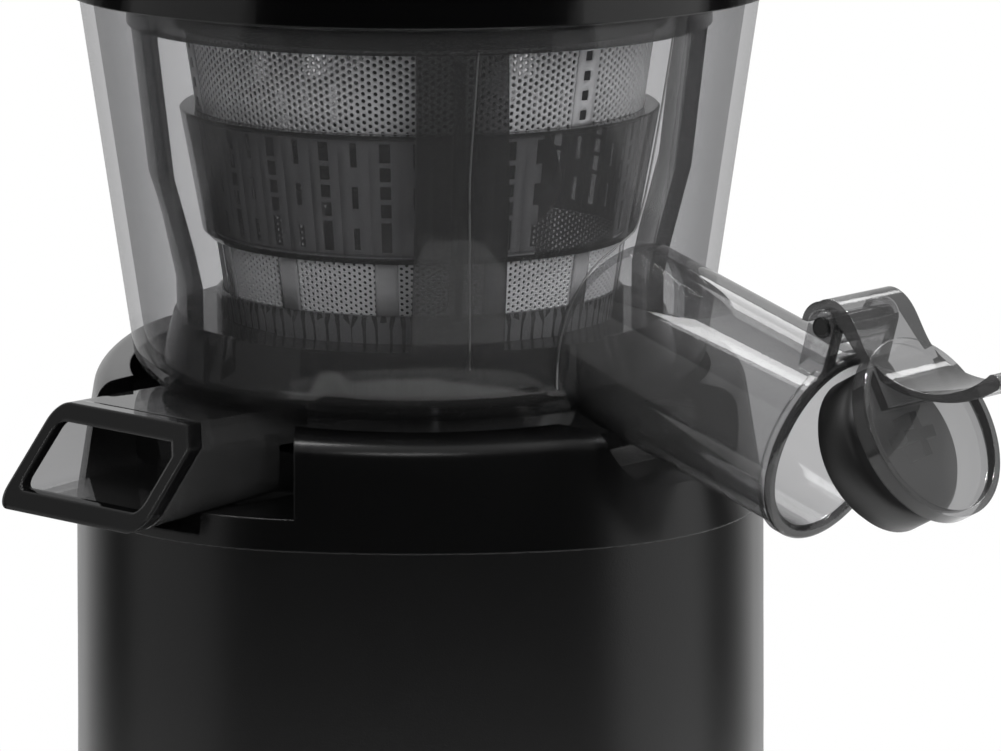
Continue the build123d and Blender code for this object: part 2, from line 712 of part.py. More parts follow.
first_gear = gear_wheel(gear_points(first_teeth, stage_a_module, inward=root_depth, phase=away + 180 / first_teeth),
                        stage_a_z, stage_a_height, countershaft_radius, counter_centre)
first_gear.label = "first_gear"
export_step(first_gear, "parts/first_gear.step")

second_pinion = gear_wheel(gear_points(second_teeth, stage_b_module, inward=root_depth, phase=away),
                           stage_b_z, stage_b_height, countershaft_radius, counter_centre)
second_pinion.label = "second_pinion"
export_step(second_pinion, "parts/second_pinion.step")

shaft_end = shaft_end_wall + seat_gap
countershaft = washer(countershaft_radius, 0, gearbox_bottom_z + shaft_end, gearbox_top_z - shaft_end, counter_centre)
countershaft.label = "countershaft"
export_step(countershaft, "parts/countershaft.step")

output_gear = gear_wheel(gear_points(output_teeth, stage_b_module, inward=root_depth, phase=toward + 180 / output_teeth),
                         stage_b_z, stage_b_height, drive_shaft_radius)
output_gear.label = "output_gear"
export_step(output_gear, "parts/output_gear.step")

with BuildPart() as drive_shaft:
    with BuildSketch(Plane.XY.offset(drive_shaft_bottom_z)):
        Circle(drive_shaft_radius)
    extrude(amount=hex_bottom_z - drive_shaft_bottom_z)
    with BuildSketch(Plane.XY.offset(hex_bottom_z)):
        RegularPolygon(hexagon_radius(hex_flat), 6)
    extrude(amount=hex_top_z - hex_bottom_z)
    chamfer(drive_shaft.edges().group_by(Axis.Z)[-1], hex_chamfer)
drive_shaft.part.label = "drive_shaft"
export_step(drive_shaft.part, "parts/drive_shaft.step")

shaft_seal = washer(drive_shaft_radius + shaft_hole_margin - run_gap, drive_shaft_radius + lift_gap,
                    deck_bottom_z, crater_floor_z)
shaft_seal.label = "shaft_seal"
export_step(shaft_seal, "parts/shaft_seal.step")

# ---------------------------------------------------------------- control board, switch and cord gland
with BuildPart() as control_board:
    with BuildSketch(Plane.XY.offset(board_bottom_z)):
        with Locations(board_centre):
            Rectangle(*board_size)
    extrude(amount=board_thick)
    with BuildSketch(Plane.XY.offset(board_bottom_z + board_thick)):
        with Locations((board_centre[0], board_centre[1] + capacitor_shift)):
            Circle(capacitor_radius)
    extrude(amount=capacitor_height)
    with BuildSketch(Plane.XY.offset(board_bottom_z + board_thick)):
        with Locations((board_centre[0], board_centre[1] + relay_shift)):
            Rectangle(relay_length, relay_width)
    extrude(amount=relay_height)
control_board.part.label = "control_board"
export_step(control_board.part, "parts/control_board.step")

body_width, body_height = switch_width - 2 * seat_gap, switch_height - 2 * seat_gap
well_width, well_height = rocker_width + 2 * lift_gap, rocker_height + 2 * rocker_swing_room
pivot_y = switch_seat_y + switch_frame - rocker_pivot_depth

with BuildPart() as switch_bezel:
    with BuildSketch(back_plane(switch_x, switch_z, switch_seat_y)):
        RectangleRounded(switch_width + 2 * switch_frame, switch_height + 2 * switch_frame, switch_corner)
    extrude(amount=switch_frame)
    with BuildSketch(back_plane(switch_x, switch_z, switch_seat_y - switch_depth)):
        Rectangle(body_width, body_height)
    extrude(amount=switch_depth)
    with BuildSketch(back_plane(switch_x, switch_z, switch_seat_y - switch_depth + switch_floor)):
        Rectangle(well_width, well_height)
    extrude(amount=switch_depth, mode=Mode.SUBTRACT)
    with BuildSketch(Plane.YZ.offset(switch_x)):
        with Locations((pivot_y, switch_z)):
            Circle(rocker_pin_radius + run_gap)
    extrude(amount=well_width / 2 + rocker_pin_length + seat_gap, both=True, mode=Mode.SUBTRACT)
switch_bezel.part.label = "switch_bezel"
export_step(switch_bezel.part, "parts/switch_bezel.step")

with BuildPart() as switch_rocker:
    with BuildSketch(Plane.YZ.offset(switch_x)):
        with Locations((pivot_y, switch_z)):
            half = rocker_height / 2
            Polygon((rocker_end_rise, half), (rocker_middle_rise, 0), (rocker_end_rise, -half),
                    (-rocker_end_depth, -half), (-rocker_keel, 0), (-rocker_end_depth, half), align=None)
    extrude(amount=rocker_width / 2, both=True)
    with BuildSketch(Plane.YZ.offset(switch_x)):
        with Locations((pivot_y, switch_z)):
            Circle(rocker_pin_radius)
    extrude(amount=well_width / 2 + rocker_pin_length, both=True)
switch_rocker.part.label = "switch_rocker"
export_step(switch_rocker.part, "parts/switch_rocker.step")

with BuildPart() as cord_gland:
    with BuildSketch(back_plane(gland_x, gland_z, gland_seat_y - gland_reach)):
        Circle(gland_radius - seat_gap)
    extrude(amount=gland_reach)
    with BuildSketch(back_plane(gland_x, gland_z, gland_seat_y)):
        Circle(gland_flange_radius)
    extrude(amount=gland_flange_thick)
    with BuildSketch(back_plane(gland_x, gland_z, gland_seat_y - gland_reach)):
        Circle(cord_bore)
    extrude(amount=gland_reach + gland_flange_thick, mode=Mode.SUBTRACT)
cord_gland.part.label = "cord_gland"
export_step(cord_gland.part, "parts/cord_gland.step")

# ---------------------------------------------------------------- juicing bowl with its tube
cone_slope = (bowl_rim_radius - bowl_foot_radius) / (bowl_rim_z - bowl_bottom_z)
floor_z = bowl_bottom_z + bowl_floor
gear_bottom_z = floor_z + bowl_gear_gap
gear_top_z = gear_bottom_z + bowl_gear_height
idler_distance = (auger_teeth + idler_teeth) * bowl_gear_module / 2
idler_centre = tuple(heading(idler_azimuth) * idler_distance)[:2]
idler_pin_bottom_z = floor_z - bowl_floor / 2
idler_pin_top_z = gear_top_z + lift_gap
hub_top_z = gear_top_z - 2 * lift_gap
post_places = [tuple(heading(idler_azimuth + turn) * post_spread)[:2] for turn in (90, -90)]


def bowl_radius(z):
    """Outer radius of the bowl's cone at this height."""
    return bowl_foot_radius + cone_slope * (z - bowl_bottom_z)


tube_axis = Vector(
    math.cos(math.radians(tube_fall)) * math.cos(math.radians(tube_azimuth)),
    math.cos(math.radians(tube_fall)) * math.sin(math.radians(tube_azimuth)),
    -math.sin(math.radians(tube_fall)),
)
hinge_axis = heading(tube_azimuth + 90)
tube_plane = Plane(origin=mouth_centre, x_dir=hinge_axis, z_dir=tube_axis)
hinge_centre = tube_plane.origin + tube_plane.y_dir * hinge_rise - tube_axis * hinge_back
ear_inner = knuckle_half + lift_gap
ear_outer = ear_inner + ear_width


def side_plane(outward, shift=0.0):
    """Plane across the cap hinge: sketch x runs outward, sketch y up."""
    return Plane(origin=hinge_centre - hinge_axis * shift, x_dir=outward, z_dir=-hinge_axis)


with BuildPart() as bowl_cavity:
    with BuildSketch(Plane.XZ) as cavity_profile:
        with BuildLine():
            Polyline((0, floor_z), (bowl_radius(floor_z) - bowl_wall, floor_z),
                     (bowl_radius(bowl_rim_z + 1) - bowl_wall, bowl_rim_z + 1), (0, bowl_rim_z + 1), close=True)
        make_face()
        fillet(cavity_profile.vertices().sort_by(Axis.Y)[:2].sort_by(Axis.X)[-1], bowl_corner / 2)
    revolve(axis=Axis.Z)

outlet_middle = (chute_way * (outlet_near + outlet_far) / 2
                 + chute_side * (outlet_side_a + outlet_side_b) / 2)
outlet_plane = Plane(origin=outlet_middle + Vector(0, 0, floor_z), x_dir=chute_way, z_dir=(0, 0, 1))
outlet_length, outlet_breadth = outlet_far - outlet_near, outlet_side_b - outlet_side_a

with BuildPart() as bowl_block:
    with BuildSketch(Plane.XZ) as bowl_profile:
        with BuildLine():
            Polyline((0, bowl_bottom_z), (bowl_foot_radius, bowl_bottom_z),
                     (bowl_rim_radius, bowl_rim_z), (0, bowl_rim_z), close=True)
        make_face()
        fillet(bowl_profile.vertices().sort_by(Axis.Y)[:2].sort_by(Axis.X)[-1], bowl_corner)
    revolve(axis=Axis.Z)

with BuildPart() as tube_bore:
    with BuildSketch(tube_plane):
        Circle(tube_radius - tube_wall)
    extrude(amount=-tube_length)

with BuildPart() as juicing_bowl:
    add(bowl_block.part)
    # foot ring that stands in the crater
    with BuildSketch(Plane.XY.offset(crater_floor_z + seat_gap)):
        Circle(bowl_foot_ring_radius)
        Circle(bowl_foot_ring_radius - bowl_wall, mode=Mode.SUBTRACT)
    extrude(amount=bowl_bottom_z - crater_floor_z - seat_gap)
    with BuildSketch(chute_plane):
        with Locations((chute_step, crater_floor_z)):
            Rectangle(cut_height, 2 * (bowl_bottom_z - crater_floor_z))
    extrude(amount=chute_width / 2 + lift_gap, both=True, mode=Mode.SUBTRACT)
    add(bowl_cavity.part, mode=Mode.SUBTRACT)
    add(tube_bore.part, mode=Mode.SUBTRACT)
    # raised hub, pulp outlet walls and two posts on the floor
    with BuildSketch(Plane.XY.offset(floor_z)):
        Circle(bowl_hub_bore + hub_wall)
    extrude(amount=hub_top_z - floor_z)
    with BuildSketch(outlet_plane):
        RectangleRounded(outlet_length + 2 * outlet_wall, outlet_breadth + 2 * outlet_wall, outlet_corner + outlet_wall)
    extrude(amount=outlet_boss_height)
    with BuildSketch(Plane.XY.offset(floor_z)):
        with Locations(*post_places):
            Circle(post_radius)
    extrude(amount=outlet_boss_height)
    with BuildSketch(outlet_plane.offset(-bowl_floor)):
        RectangleRounded(outlet_length, outlet_breadth, outlet_corner)
    extrude(amount=bowl_floor + outlet_boss_height, mode=Mode.SUBTRACT)
    with BuildSketch(Plane.XY.offset(bowl_bottom_z)):
        Circle(bowl_hub_bore)
    extrude(amount=hub_top_z - bowl_bottom_z, mode=Mode.SUBTRACT)
    # blind seat for the idler's steel pin
    with BuildSketch(Plane.XY.offset(idler_pin_bottom_z)):
        with Locations(idler_centre):
            Circle(idler_pin_radius)
    extrude(amount=bowl_floor, mode=Mode.SUBTRACT)
juicing_bowl.part.label = "juicing_bowl"
export_step(juicing_bowl.part, "parts/juicing_bowl.step")

with BuildPart() as juice_tube:
    # slanting tube with a bead at its mouth, cut off where it meets the bowl
    with BuildSketch(tube_plane):
        Circle(tube_radius)
    extrude(amount=-tube_length)
    with BuildSketch(tube_plane):
        Circle(tube_radius + tube_bead)
    extrude(amount=-3 * tube_bead)
    fillet(juice_tube.edges().filter_by(GeomType.CIRCLE).sort_by(Axis(mouth_centre, tuple(tube_axis)))[-1],
           tube_bead * 0.9)
    # two ears for the cap's hinge pin
    for shift in (ear_inner, -ear_outer):
        with BuildSketch(side_plane(tube_axis, shift)):
            Circle(ear_radius)
            with BuildLine():
                Polyline((-ear_radius, 0), (ear_radius, 0), (ear_radius + ear_front_flare, -ear_drop),
                         (-ear_radius + ear_back_taper, -ear_drop), close=True)
            make_face()
        extrude(amount=ear_width)
    with BuildSketch(side_plane(tube_axis, ear_outer + ear_width)):
        Circle(pin_radius + run_gap)
    extrude(amount=-2 * (ear_outer + ear_width), mode=Mode.SUBTRACT)
    add(tube_bore.part, mode=Mode.SUBTRACT)
    chamfer(juice_tube.edges().filter_by(GeomType.CIRCLE).filter_by(
        lambda e: abs(e.radius - tube_radius + tube_wall) < 0.01).sort_by(Axis(mouth_centre, tuple(tube_axis)))[-1],
        tube_lead_in)
    add(bowl_block.part, mode=Mode.SUBTRACT)
juice_tube.part.label = "juice_tube"
export_step(juice_tube.part, "parts/juice_tube.step")

bowl_packing = washer(bowl_hub_bore - run_gap, drive_shaft_radius + lift_gap, bowl_bottom_z, floor_z)
bowl_packing.label = "bowl_packing"
export_step(bowl_packing, "parts/bowl_packing.step")

with BuildPart() as cap_pin:
    with BuildSketch(side_plane(tube_axis, ear_outer + pin_overhang)):
        Circle(pin_radius)
    extrude(amount=-2 * (ear_outer + pin_overhang))
cap_pin.part.label = "cap_pin"
export_step(cap_pin.part, "parts/cap_pin.step")

# ---------------------------------------------------------------- pulp chute under the bowl
mouth_lean = (chute_floor_lip - chute_roof_lip) / (bowl_bottom_z - chute_floor_z)
floor_slope = (chute_step_floor_z - chute_floor_z) / (chute_floor_lip - chute_step)


def chute_form(inset, back, front):
    """The chute's rounded outline drawn in by inset, from back to this far past its slanting mouth."""
    roof = bowl_bottom_z - inset
    roof_end = chute_roof_lip + front + mouth_lean * inset
    floor_end = chute_floor_lip + front - mouth_lean * inset
    with BuildPart() as form:
        with BuildSketch(chute_plane):
            with BuildLine():
                Polyline((back, roof), (roof_end, roof),
                         (floor_end, chute_floor_z + inset + floor_slope * (chute_floor_lip - floor_end)),
                         (back, chute_floor_z + inset + floor_slope * (chute_floor_lip - back)), close=True)
            make_face()
        extrude(amount=chute_width / 2 - inset, both=True)
        sideways = Axis((0, 0, 0), tuple(chute_side))
        along = form.edges().filter_by(lambda e: abs(e.tangent_at(0.5).dot(chute_way)) > 0.99)
        roof_left = along.group_by(Axis.Z)[-1].sort_by(sideways)[0]
        fillet([roof_left] + list(along.group_by(Axis.Z)[0]), chute_round - inset / 2)
        along = form.edges().filter_by(lambda e: abs(e.tangent_at(0.5).dot(chute_way)) > 0.99)
        chamfer(along.group_by(Axis.Z)[-1].sort_by(sideways)[-1], chute_bevel - inset / 2)
    return form.part


def under_pan(inset):
    """Space below the shallow pan that lies behind the deep part."""
    with BuildPart() as space:
        with BuildSketch(chute_plane):
            with Locations(((chute_step + inset) / 2, chute_shallow_z + inset - cut_height / 2)):
                Rectangle(chute_step + inset, cut_height)
        extrude(amount=chute_width, both=True)
    return space.part


with BuildPart() as chute_cavity:
    add(chute_form(chute_wall, chute_start + chute_wall, -chute_rim_depth))
    add(under_pan(chute_wall), mode=Mode.SUBTRACT)

with BuildPart() as pulp_chute:
    add(chute_form(0, chute_start, 0))
    add(under_pan(0), mode=Mode.SUBTRACT)
    add(chute_cavity.part, mode=Mode.SUBTRACT)
    add(chute_form(chute_rim, chute_step + chute_rim, cut_depth), mode=Mode.SUBTRACT)
    # under the bowl the chute has no roof of its own
    with BuildSketch(Plane(origin=chute_side * chute_offset + Vector(0, 0, bowl_bottom_z - chute_wall),
                           x_dir=chute_way, z_dir=(0, 0, 1))):
        with Locations(((chute_start + chute_step) / 2 - chute_wall / 2, 0)):
            Rectangle(chute_step - chute_start - 3 * chute_wall, chute_width - 2 * chute_bevel)
    extrude(amount=2 * chute_wall, both=True, mode=Mode.SUBTRACT)
pulp_chute.part.label = "pulp_chute"
export_step(pulp_chute.part, "parts/pulp_chute.step")

# ---------------------------------------------------------------- cap on the juice tube
open_cos, open_sin = math.cos(math.radians(cap_open)), math.sin(math.radians(cap_open))
cap_out = tube_axis * open_cos + tube_plane.y_dir * open_sin
cap_disc_plane = Plane(origin=hinge_centre, x_dir=hinge_axis, z_dir=cap_out)
barrel_inner = ear_radius + lever_gap
barrel_outer = barrel_inner + lever_sheet


def polar(radius, angle):
    """Point at this radius and angle in degrees."""
    return (radius * math.cos(math.radians(angle)), radius * math.sin(math.radians(angle)))


with BuildPart() as cap:
    with BuildSketch(side_plane(cap_out, lever_half)):
        with BuildLine():
            over = CenterArc((0, 0), barrel_outer, lever_start_angle, 70 - lever_start_angle)
            under = CenterArc((0, 0), barrel_inner, lever_start_angle, -10 - lever_start_angle)
            top = Spline(over @ 1, *lever_outer_edge)
            bottom = Spline(under @ 1, *lever_inner_edge)
            Line(over @ 0, under @ 0)
            ThreePointArc(top @ 1, lever_tip, bottom @ 1)
        make_face()
    extrude(amount=-2 * lever_half)
    with BuildSketch(side_plane(cap_out, knuckle_half)):
        Circle(barrel_inner + lever_sheet / 8)
    extrude(amount=-2 * knuckle_half)
    with BuildSketch(cap_disc_plane.offset(disc_back)):
        with Locations((0, -hinge_rise)):
            Circle(disc_radius)
    extrude(amount=disc_front - disc_back)
    with BuildSketch(cap_disc_plane.offset(disc_back + disc_wall)):
        with Locations((0, -hinge_rise)):
            Circle(disc_radius - disc_wall)
            with Locations((0, disc_radius)):
                Rectangle(2 * lever_half + disc_wall, 1.4 * disc_radius, mode=Mode.SUBTRACT)
    extrude(amount=disc_front - disc_back, mode=Mode.SUBTRACT)
    with BuildSketch(side_plane(cap_out, ear_outer)):
        Circle(pin_radius + run_gap)
    extrude(amount=-2 * ear_outer, mode=Mode.SUBTRACT)
cap.part.label = "cap"
export_step(cap.part, "parts/cap.step")

with BuildPart() as cap_stopper:
    stopper_axis_origin = hinge_centre - cap_disc_plane.y_dir * hinge_rise
    stopper_profile_plane = Plane(origin=stopper_axis_origin, x_dir=hinge_axis, z_dir=-cap_disc_plane.y_dir)
    with BuildSketch(stopper_profile_plane):
        with BuildLine():
            Polyline((0, disc_back), (stopper_lip_radius, disc_back), (stopper_lip_radius, disc_back - stopper_lip),
                     (stopper_radius, disc_back - 1.5 * stopper_lip), (stopper_radius, stopper_back + stopper_round),
                     (stopper_radius - stopper_round, stopper_back), (stopper_hollow_radius, stopper_back),
                     (stopper_hollow_radius, disc_back - stopper_floor), (0, disc_back - stopper_floor), close=True)
        make_face()
    revolve(axis=Axis(tuple(stopper_axis_origin), tuple(cap_out)))
cap_stopper.part.label = "cap_stopper"
export_step(cap_stopper.part, "parts/cap_stopper.step")

# ---------------------------------------------------------------- idler, strainer
idler_pin = washer(idler_pin_radius, 0, idler_pin_bottom_z, idler_pin_top_z, idler_centre)
idler_pin.label = "idler_pin"
export_step(idler_pin, "parts/idler_pin.step")

idler_gear = gear_wheel(gear_points(idler_teeth, bowl_gear_module, inward=root_depth,
                                    phase=idler_azimuth + 180 + 180 / idler_teeth),
                        gear_bottom_z, bowl_gear_height, idler_pin_radius + run_gap, idler_centre)
idler_gear.label = "idler_gear"
export_step(idler_gear, "parts/idler_gear.step")


strainer_base_z = floor_z + outlet_boss_height + seat_gap
screen_bottom_z = strainer_base_z + strainer_base_thick
strainer_foot_top_z = strainer_base_z + strainer_foot_height


def screen_radius(z):
    """Outer radius of the sieve cone at this height."""
    share = (z - screen_bottom_z) / (screen_top_z - screen_bottom_z)
    return screen_bottom_radius + share * (screen_top_radius - screen_bottom_radius)


strainer_foot_radius = screen_radius(strainer_foot_top_z) + strainer_foot_stand
strainer_ring_inner = screen_top_radius - strainer_ring_inset
strainer_ring_outer = screen_top_radius + strainer_ring_reach
belt_top_radius = screen_radius(belt_top_z) + belt_top_stand
belt_bottom_radius = screen_radius(belt_bottom_z) + belt_bottom_stand

strainer_mesh = turned([
    (screen_bottom_radius - screen_thick, screen_bottom_z), (screen_bottom_radius, screen_bottom_z),
    (screen_top_radius, screen_top_z), (screen_top_radius - screen_thick, screen_top_z),
])
strainer_mesh.label = "strainer_mesh"
export_step(strainer_mesh, "parts/strainer_mesh.step")

base_top_z = strainer_base_z + strainer_base_thick
foot_bevel = belt_lip / 2
with BuildPart() as strainer_base:
    add(turned([
        (neck_hole_radius, strainer_base_z), (strainer_foot_radius, strainer_base_z),
        (strainer_foot_radius, strainer_foot_top_z - foot_bevel),
        (strainer_foot_radius - foot_bevel, strainer_foot_top_z),
        (screen_radius(strainer_foot_top_z), strainer_foot_top_z), (screen_bottom_radius, screen_bottom_z),
        (neck_hole_radius, base_top_z),
    ]))
    with BuildSketch(outlet_plane):
        RectangleRounded(outlet_length, outlet_breadth, outlet_corner)
    extrude(amount=base_top_z - floor_z, mode=Mode.SUBTRACT)
strainer_base.part.label = "strainer_base"
export_step(strainer_base.part, "parts/strainer_base.step")

strainer_belt = turned([
    (screen_radius(belt_bottom_z), belt_bottom_z), (belt_bottom_radius - belt_lip, belt_bottom_z),
    (belt_bottom_radius, belt_bottom_z + belt_lip), (belt_top_radius, belt_top_z),
    (screen_radius(belt_top_z), belt_top_z),
])
strainer_belt.label = "strainer_belt"
export_step(strainer_belt, "parts/strainer_belt.step")

strainer_ring = turned([
    (strainer_ring_inner, screen_top_z), (strainer_ring_outer, screen_top_z),
    (strainer_ring_outer, strainer_top_z - foot_bevel), (strainer_ring_outer - foot_bevel, strainer_top_z),
    (strainer_ring_inner, strainer_top_z),
])
strainer_ring.label = "strainer_ring"
export_step(strainer_ring, "parts/strainer_ring.step")

with BuildPart() as strainer_ribs:
    for low, high in ((strainer_foot_top_z, belt_bottom_z), (belt_top_z, screen_top_z)):
        add(turned([
            (screen_radius(low), low), (screen_radius(low) + rib_thick, low),
            (screen_radius(high) + rib_thick, high), (screen_radius(high), high),
        ]))
    with BuildSketch(Plane.XY.offset(strainer_base_z)):
        with PolarLocations(screen_top_radius, rib_count, start_angle=arm_phase + rib_phase):
            Rectangle(screen_top_radius, rib_width)
    extrude(amount=strainer_top_z - strainer_base_z, mode=Mode.INTERSECT)
strainer_ribs.part.label = "strainer_ribs"
export_step(strainer_ribs.part, "parts/strainer_ribs.step")

# ---------------------------------------------------------------- spinning brush cage
teeth_top_z = gear_top_z + lift_gap
ring_bottom_z = gear_bottom_z
cage_ring_top_z = ring_bottom_z + cage_ring_height
gear_rim = 1.5              # ring behind the inner teeth
arm_inner = strainer_ring_outer + arm_clear
arm_top_radius = arm_inner + arm_thick
cage_top_radius = arm_top_radius + cage_top_reach
arm_foot_inner = arm_foot_radius - arm_thick
arm_foot_z = cage_ring_top_z - arm_thick / 2
arm_end_z = cage_top_ring_z + cage_top_ring_height / 2

with BuildPart() as arm_shell:
    add(turned([
        (arm_top_radius, arm_end_z), (arm_top_radius, arm_knee_z),
        (arm_foot_radius, arm_foot_z), (arm_foot_inner, arm_foot_z),
        (arm_inner, arm_knee_z), (arm_inner, arm_end_z),
    ]))
    with BuildSketch(Plane.XY.offset(arm_foot_z)):
        with PolarLocations(arm_top_radius, arm_count, start_angle=arm_phase):
            Rectangle(arm_top_radius, arm_width)
    extrude(amount=arm_end_z - arm_foot_z, mode=Mode.INTERSECT)

with BuildPart() as brush_frame:
    add(turned([
        (cage_ring_inner, ring_bottom_z), (cage_ring_radius - cage_ring_chamfer, ring_bottom_z),
        (cage_ring_radius, ring_bottom_z + cage_ring_chamfer), (cage_ring_radius, cage_ring_top_z),
        (cage_ring_inner, cage_ring_top_z),
    ]))
    # inner teeth: a thicker ring cut by the outline of the spaces
    with BuildSketch(Plane.XY.offset(ring_bottom_z)):
        Circle(cage_ring_inner + gear_rim)
        Circle(cage_teeth * bowl_gear_module / 2 - tooth_height * bowl_gear_module, mode=Mode.SUBTRACT)
    extrude(amount=teeth_top_z - ring_bottom_z)
    with BuildSketch(Plane.XY.offset(ring_bottom_z)):
        Polygon(*gear_points(cage_teeth, bowl_gear_module, outward=root_depth, play=-flank_play,
                             phase=idler_azimuth + 180 / cage_teeth), align=None)
    extrude(amount=teeth_top_z - ring_bottom_z, mode=Mode.SUBTRACT)
    add(arm_shell.part)
    add(turned([
        (arm_inner, cage_top_ring_z), (cage_top_radius, cage_top_ring_z),
        (cage_top_radius, cage_top_ring_z + cage_top_ring_height),
        (arm_inner, cage_top_ring_z + cage_top_ring_height),
    ]))
brush_frame.part.label = "brush_frame"
export_step(brush_frame.part, "parts/brush_frame.step")

rib_clear = rib_thick + blade_gap
blade_foot_z = max(strainer_foot_top_z, cage_ring_top_z) + blade_gap
blade_edge = [
    (screen_radius(blade_top_z) + rib_clear, blade_top_z), (belt_top_radius + blade_gap, belt_top_z + blade_gap),
    (belt_bottom_radius + blade_gap, belt_bottom_z - blade_gap),
    (screen_radius(belt_bottom_z) + rib_clear, belt_bottom_z - belt_lip),
    (screen_radius(blade_foot_z) + rib_clear, blade_foot_z),
]

with BuildPart() as brush_blades:
    blade_back = arm_inner - run_gap
    foot_share = (arm_knee_z - blade_foot_z) / (arm_knee_z - arm_foot_z)
    blade_foot = blade_back - foot_share * (arm_top_radius - arm_foot_radius)
    for arm in range(arm_count):
        way = heading(arm_phase + arm * 360 / arm_count)
        with BuildSketch(Plane(origin=(0, 0, 0), x_dir=way, z_dir=heading(arm_phase + arm * 360 / arm_count - 90))):
            Polygon(*blade_edge, (blade_foot, blade_foot_z), (blade_back, arm_knee_z),
                    (blade_back, blade_top_z), align=None)
        extrude(amount=blade_thick / 2, both=True)
brush_blades.part.label = "brush_blades"
export_step(brush_blades.part, "parts/brush_blades.step")

# ---------------------------------------------------------------- auger
auger_flight_base_z = gear_top_z + auger_neck_height
flight_overhang = 2.0       # cut off again by the cone round the flights

with BuildPart() as auger_flights:
    flight_height = auger_flight_top_z - auger_flight_base_z
    flight_reach = auger_bottom_radius + flight_overhang
    with BuildSketch(Plane.XY.offset(auger_flight_base_z)) as flight_plan:
        Circle(auger_core_top_radius - flight_overhang)
        for turn in (0, 180):
            with BuildLine():
                Polyline((0, 0), polar(flight_reach, turn - flight_angle / 2),
                         polar(flight_reach + flight_overhang / 2, turn), polar(flight_reach, turn + flight_angle / 2),
                         close=True)
            make_face()
    add(Solid.extrude_linear_with_rotation(
        flight_plan.sketch.face(), (0, 0, auger_flight_base_z), (0, 0, flight_height), auger_twist))
    add(turned([
        (0, auger_flight_base_z), (auger_bottom_radius, auger_flight_base_z),
        (auger_top_radius, auger_flight_top_z), (0, auger_flight_top_z),
    ]), mode=Mode.INTERSECT)

core_foot, pin_bevel = 3.0, 1.0
with BuildPart() as auger:
    with BuildSketch(Plane.XY.offset(gear_bottom_z)):
        Polygon(*gear_points(auger_teeth, bowl_gear_module, inward=root_depth, phase=idler_azimuth), align=None)
    extrude(amount=bowl_gear_height)
    add(turned([
        (0, gear_top_z), (auger_neck_radius, gear_top_z), (auger_neck_radius, auger_flight_base_z),
        (auger_core_bottom_radius, auger_flight_base_z), (auger_core_bottom_radius, auger_flight_base_z + core_foot),
        (auger_core_top_radius, auger_flight_top_z), (auger_pin_radius, auger_flight_top_z + auger_shoulder_height),
        (auger_pin_radius, auger_pin_top_z - pin_bevel), (auger_pin_radius - pin_bevel, auger_pin_top_z),
        (0, auger_pin_top_z),
    ]))
    add(auger_flights.part)
    with BuildSketch(Plane.XY.offset(gear_bottom_z)):
        Circle(bowl_hub_bore + hub_wall + 2 * lift_gap)
    extrude(amount=hub_top_z + 3 * lift_gap - gear_bottom_z, mode=Mode.SUBTRACT)
    with BuildSketch(Plane.XY.offset(gear_bottom_z)):
        Circle(socket_radius)
    extrude(amount=socket_top_z - gear_bottom_z, mode=Mode.SUBTRACT)
auger.part.label = "auger"
export_step(auger.part, "parts/auger.step")

with BuildPart() as auger_socket:
    with BuildSketch(Plane.XY.offset(socket_bottom_z)):
        Circle(socket_radius)
        RegularPolygon(hexagon_radius(hex_flat + 2 * socket_play), 6, mode=Mode.SUBTRACT)
    extrude(amount=socket_top_z - socket_bottom_z)
auger_socket.part.label = "auger_socket"
export_step(auger_socket.part, "parts/auger_socket.step")

# ---------------------------------------------------------------- lid with feed tube
rim_top_z = bowl_rim_z + lift_gap
lid_edge_z = rim_top_z + lid_edge_height
strainer_ring_z = strainer_top_z + lid_ring_gap
ceiling_z = lid_top_z - lid_thick
feed_centre = (0, feed_offset)
lid_ring_radius = strainer_ring_outer - lid_ring_gap
inner_skirt_inside = lid_inner_skirt_radius - lid_skirt_wall

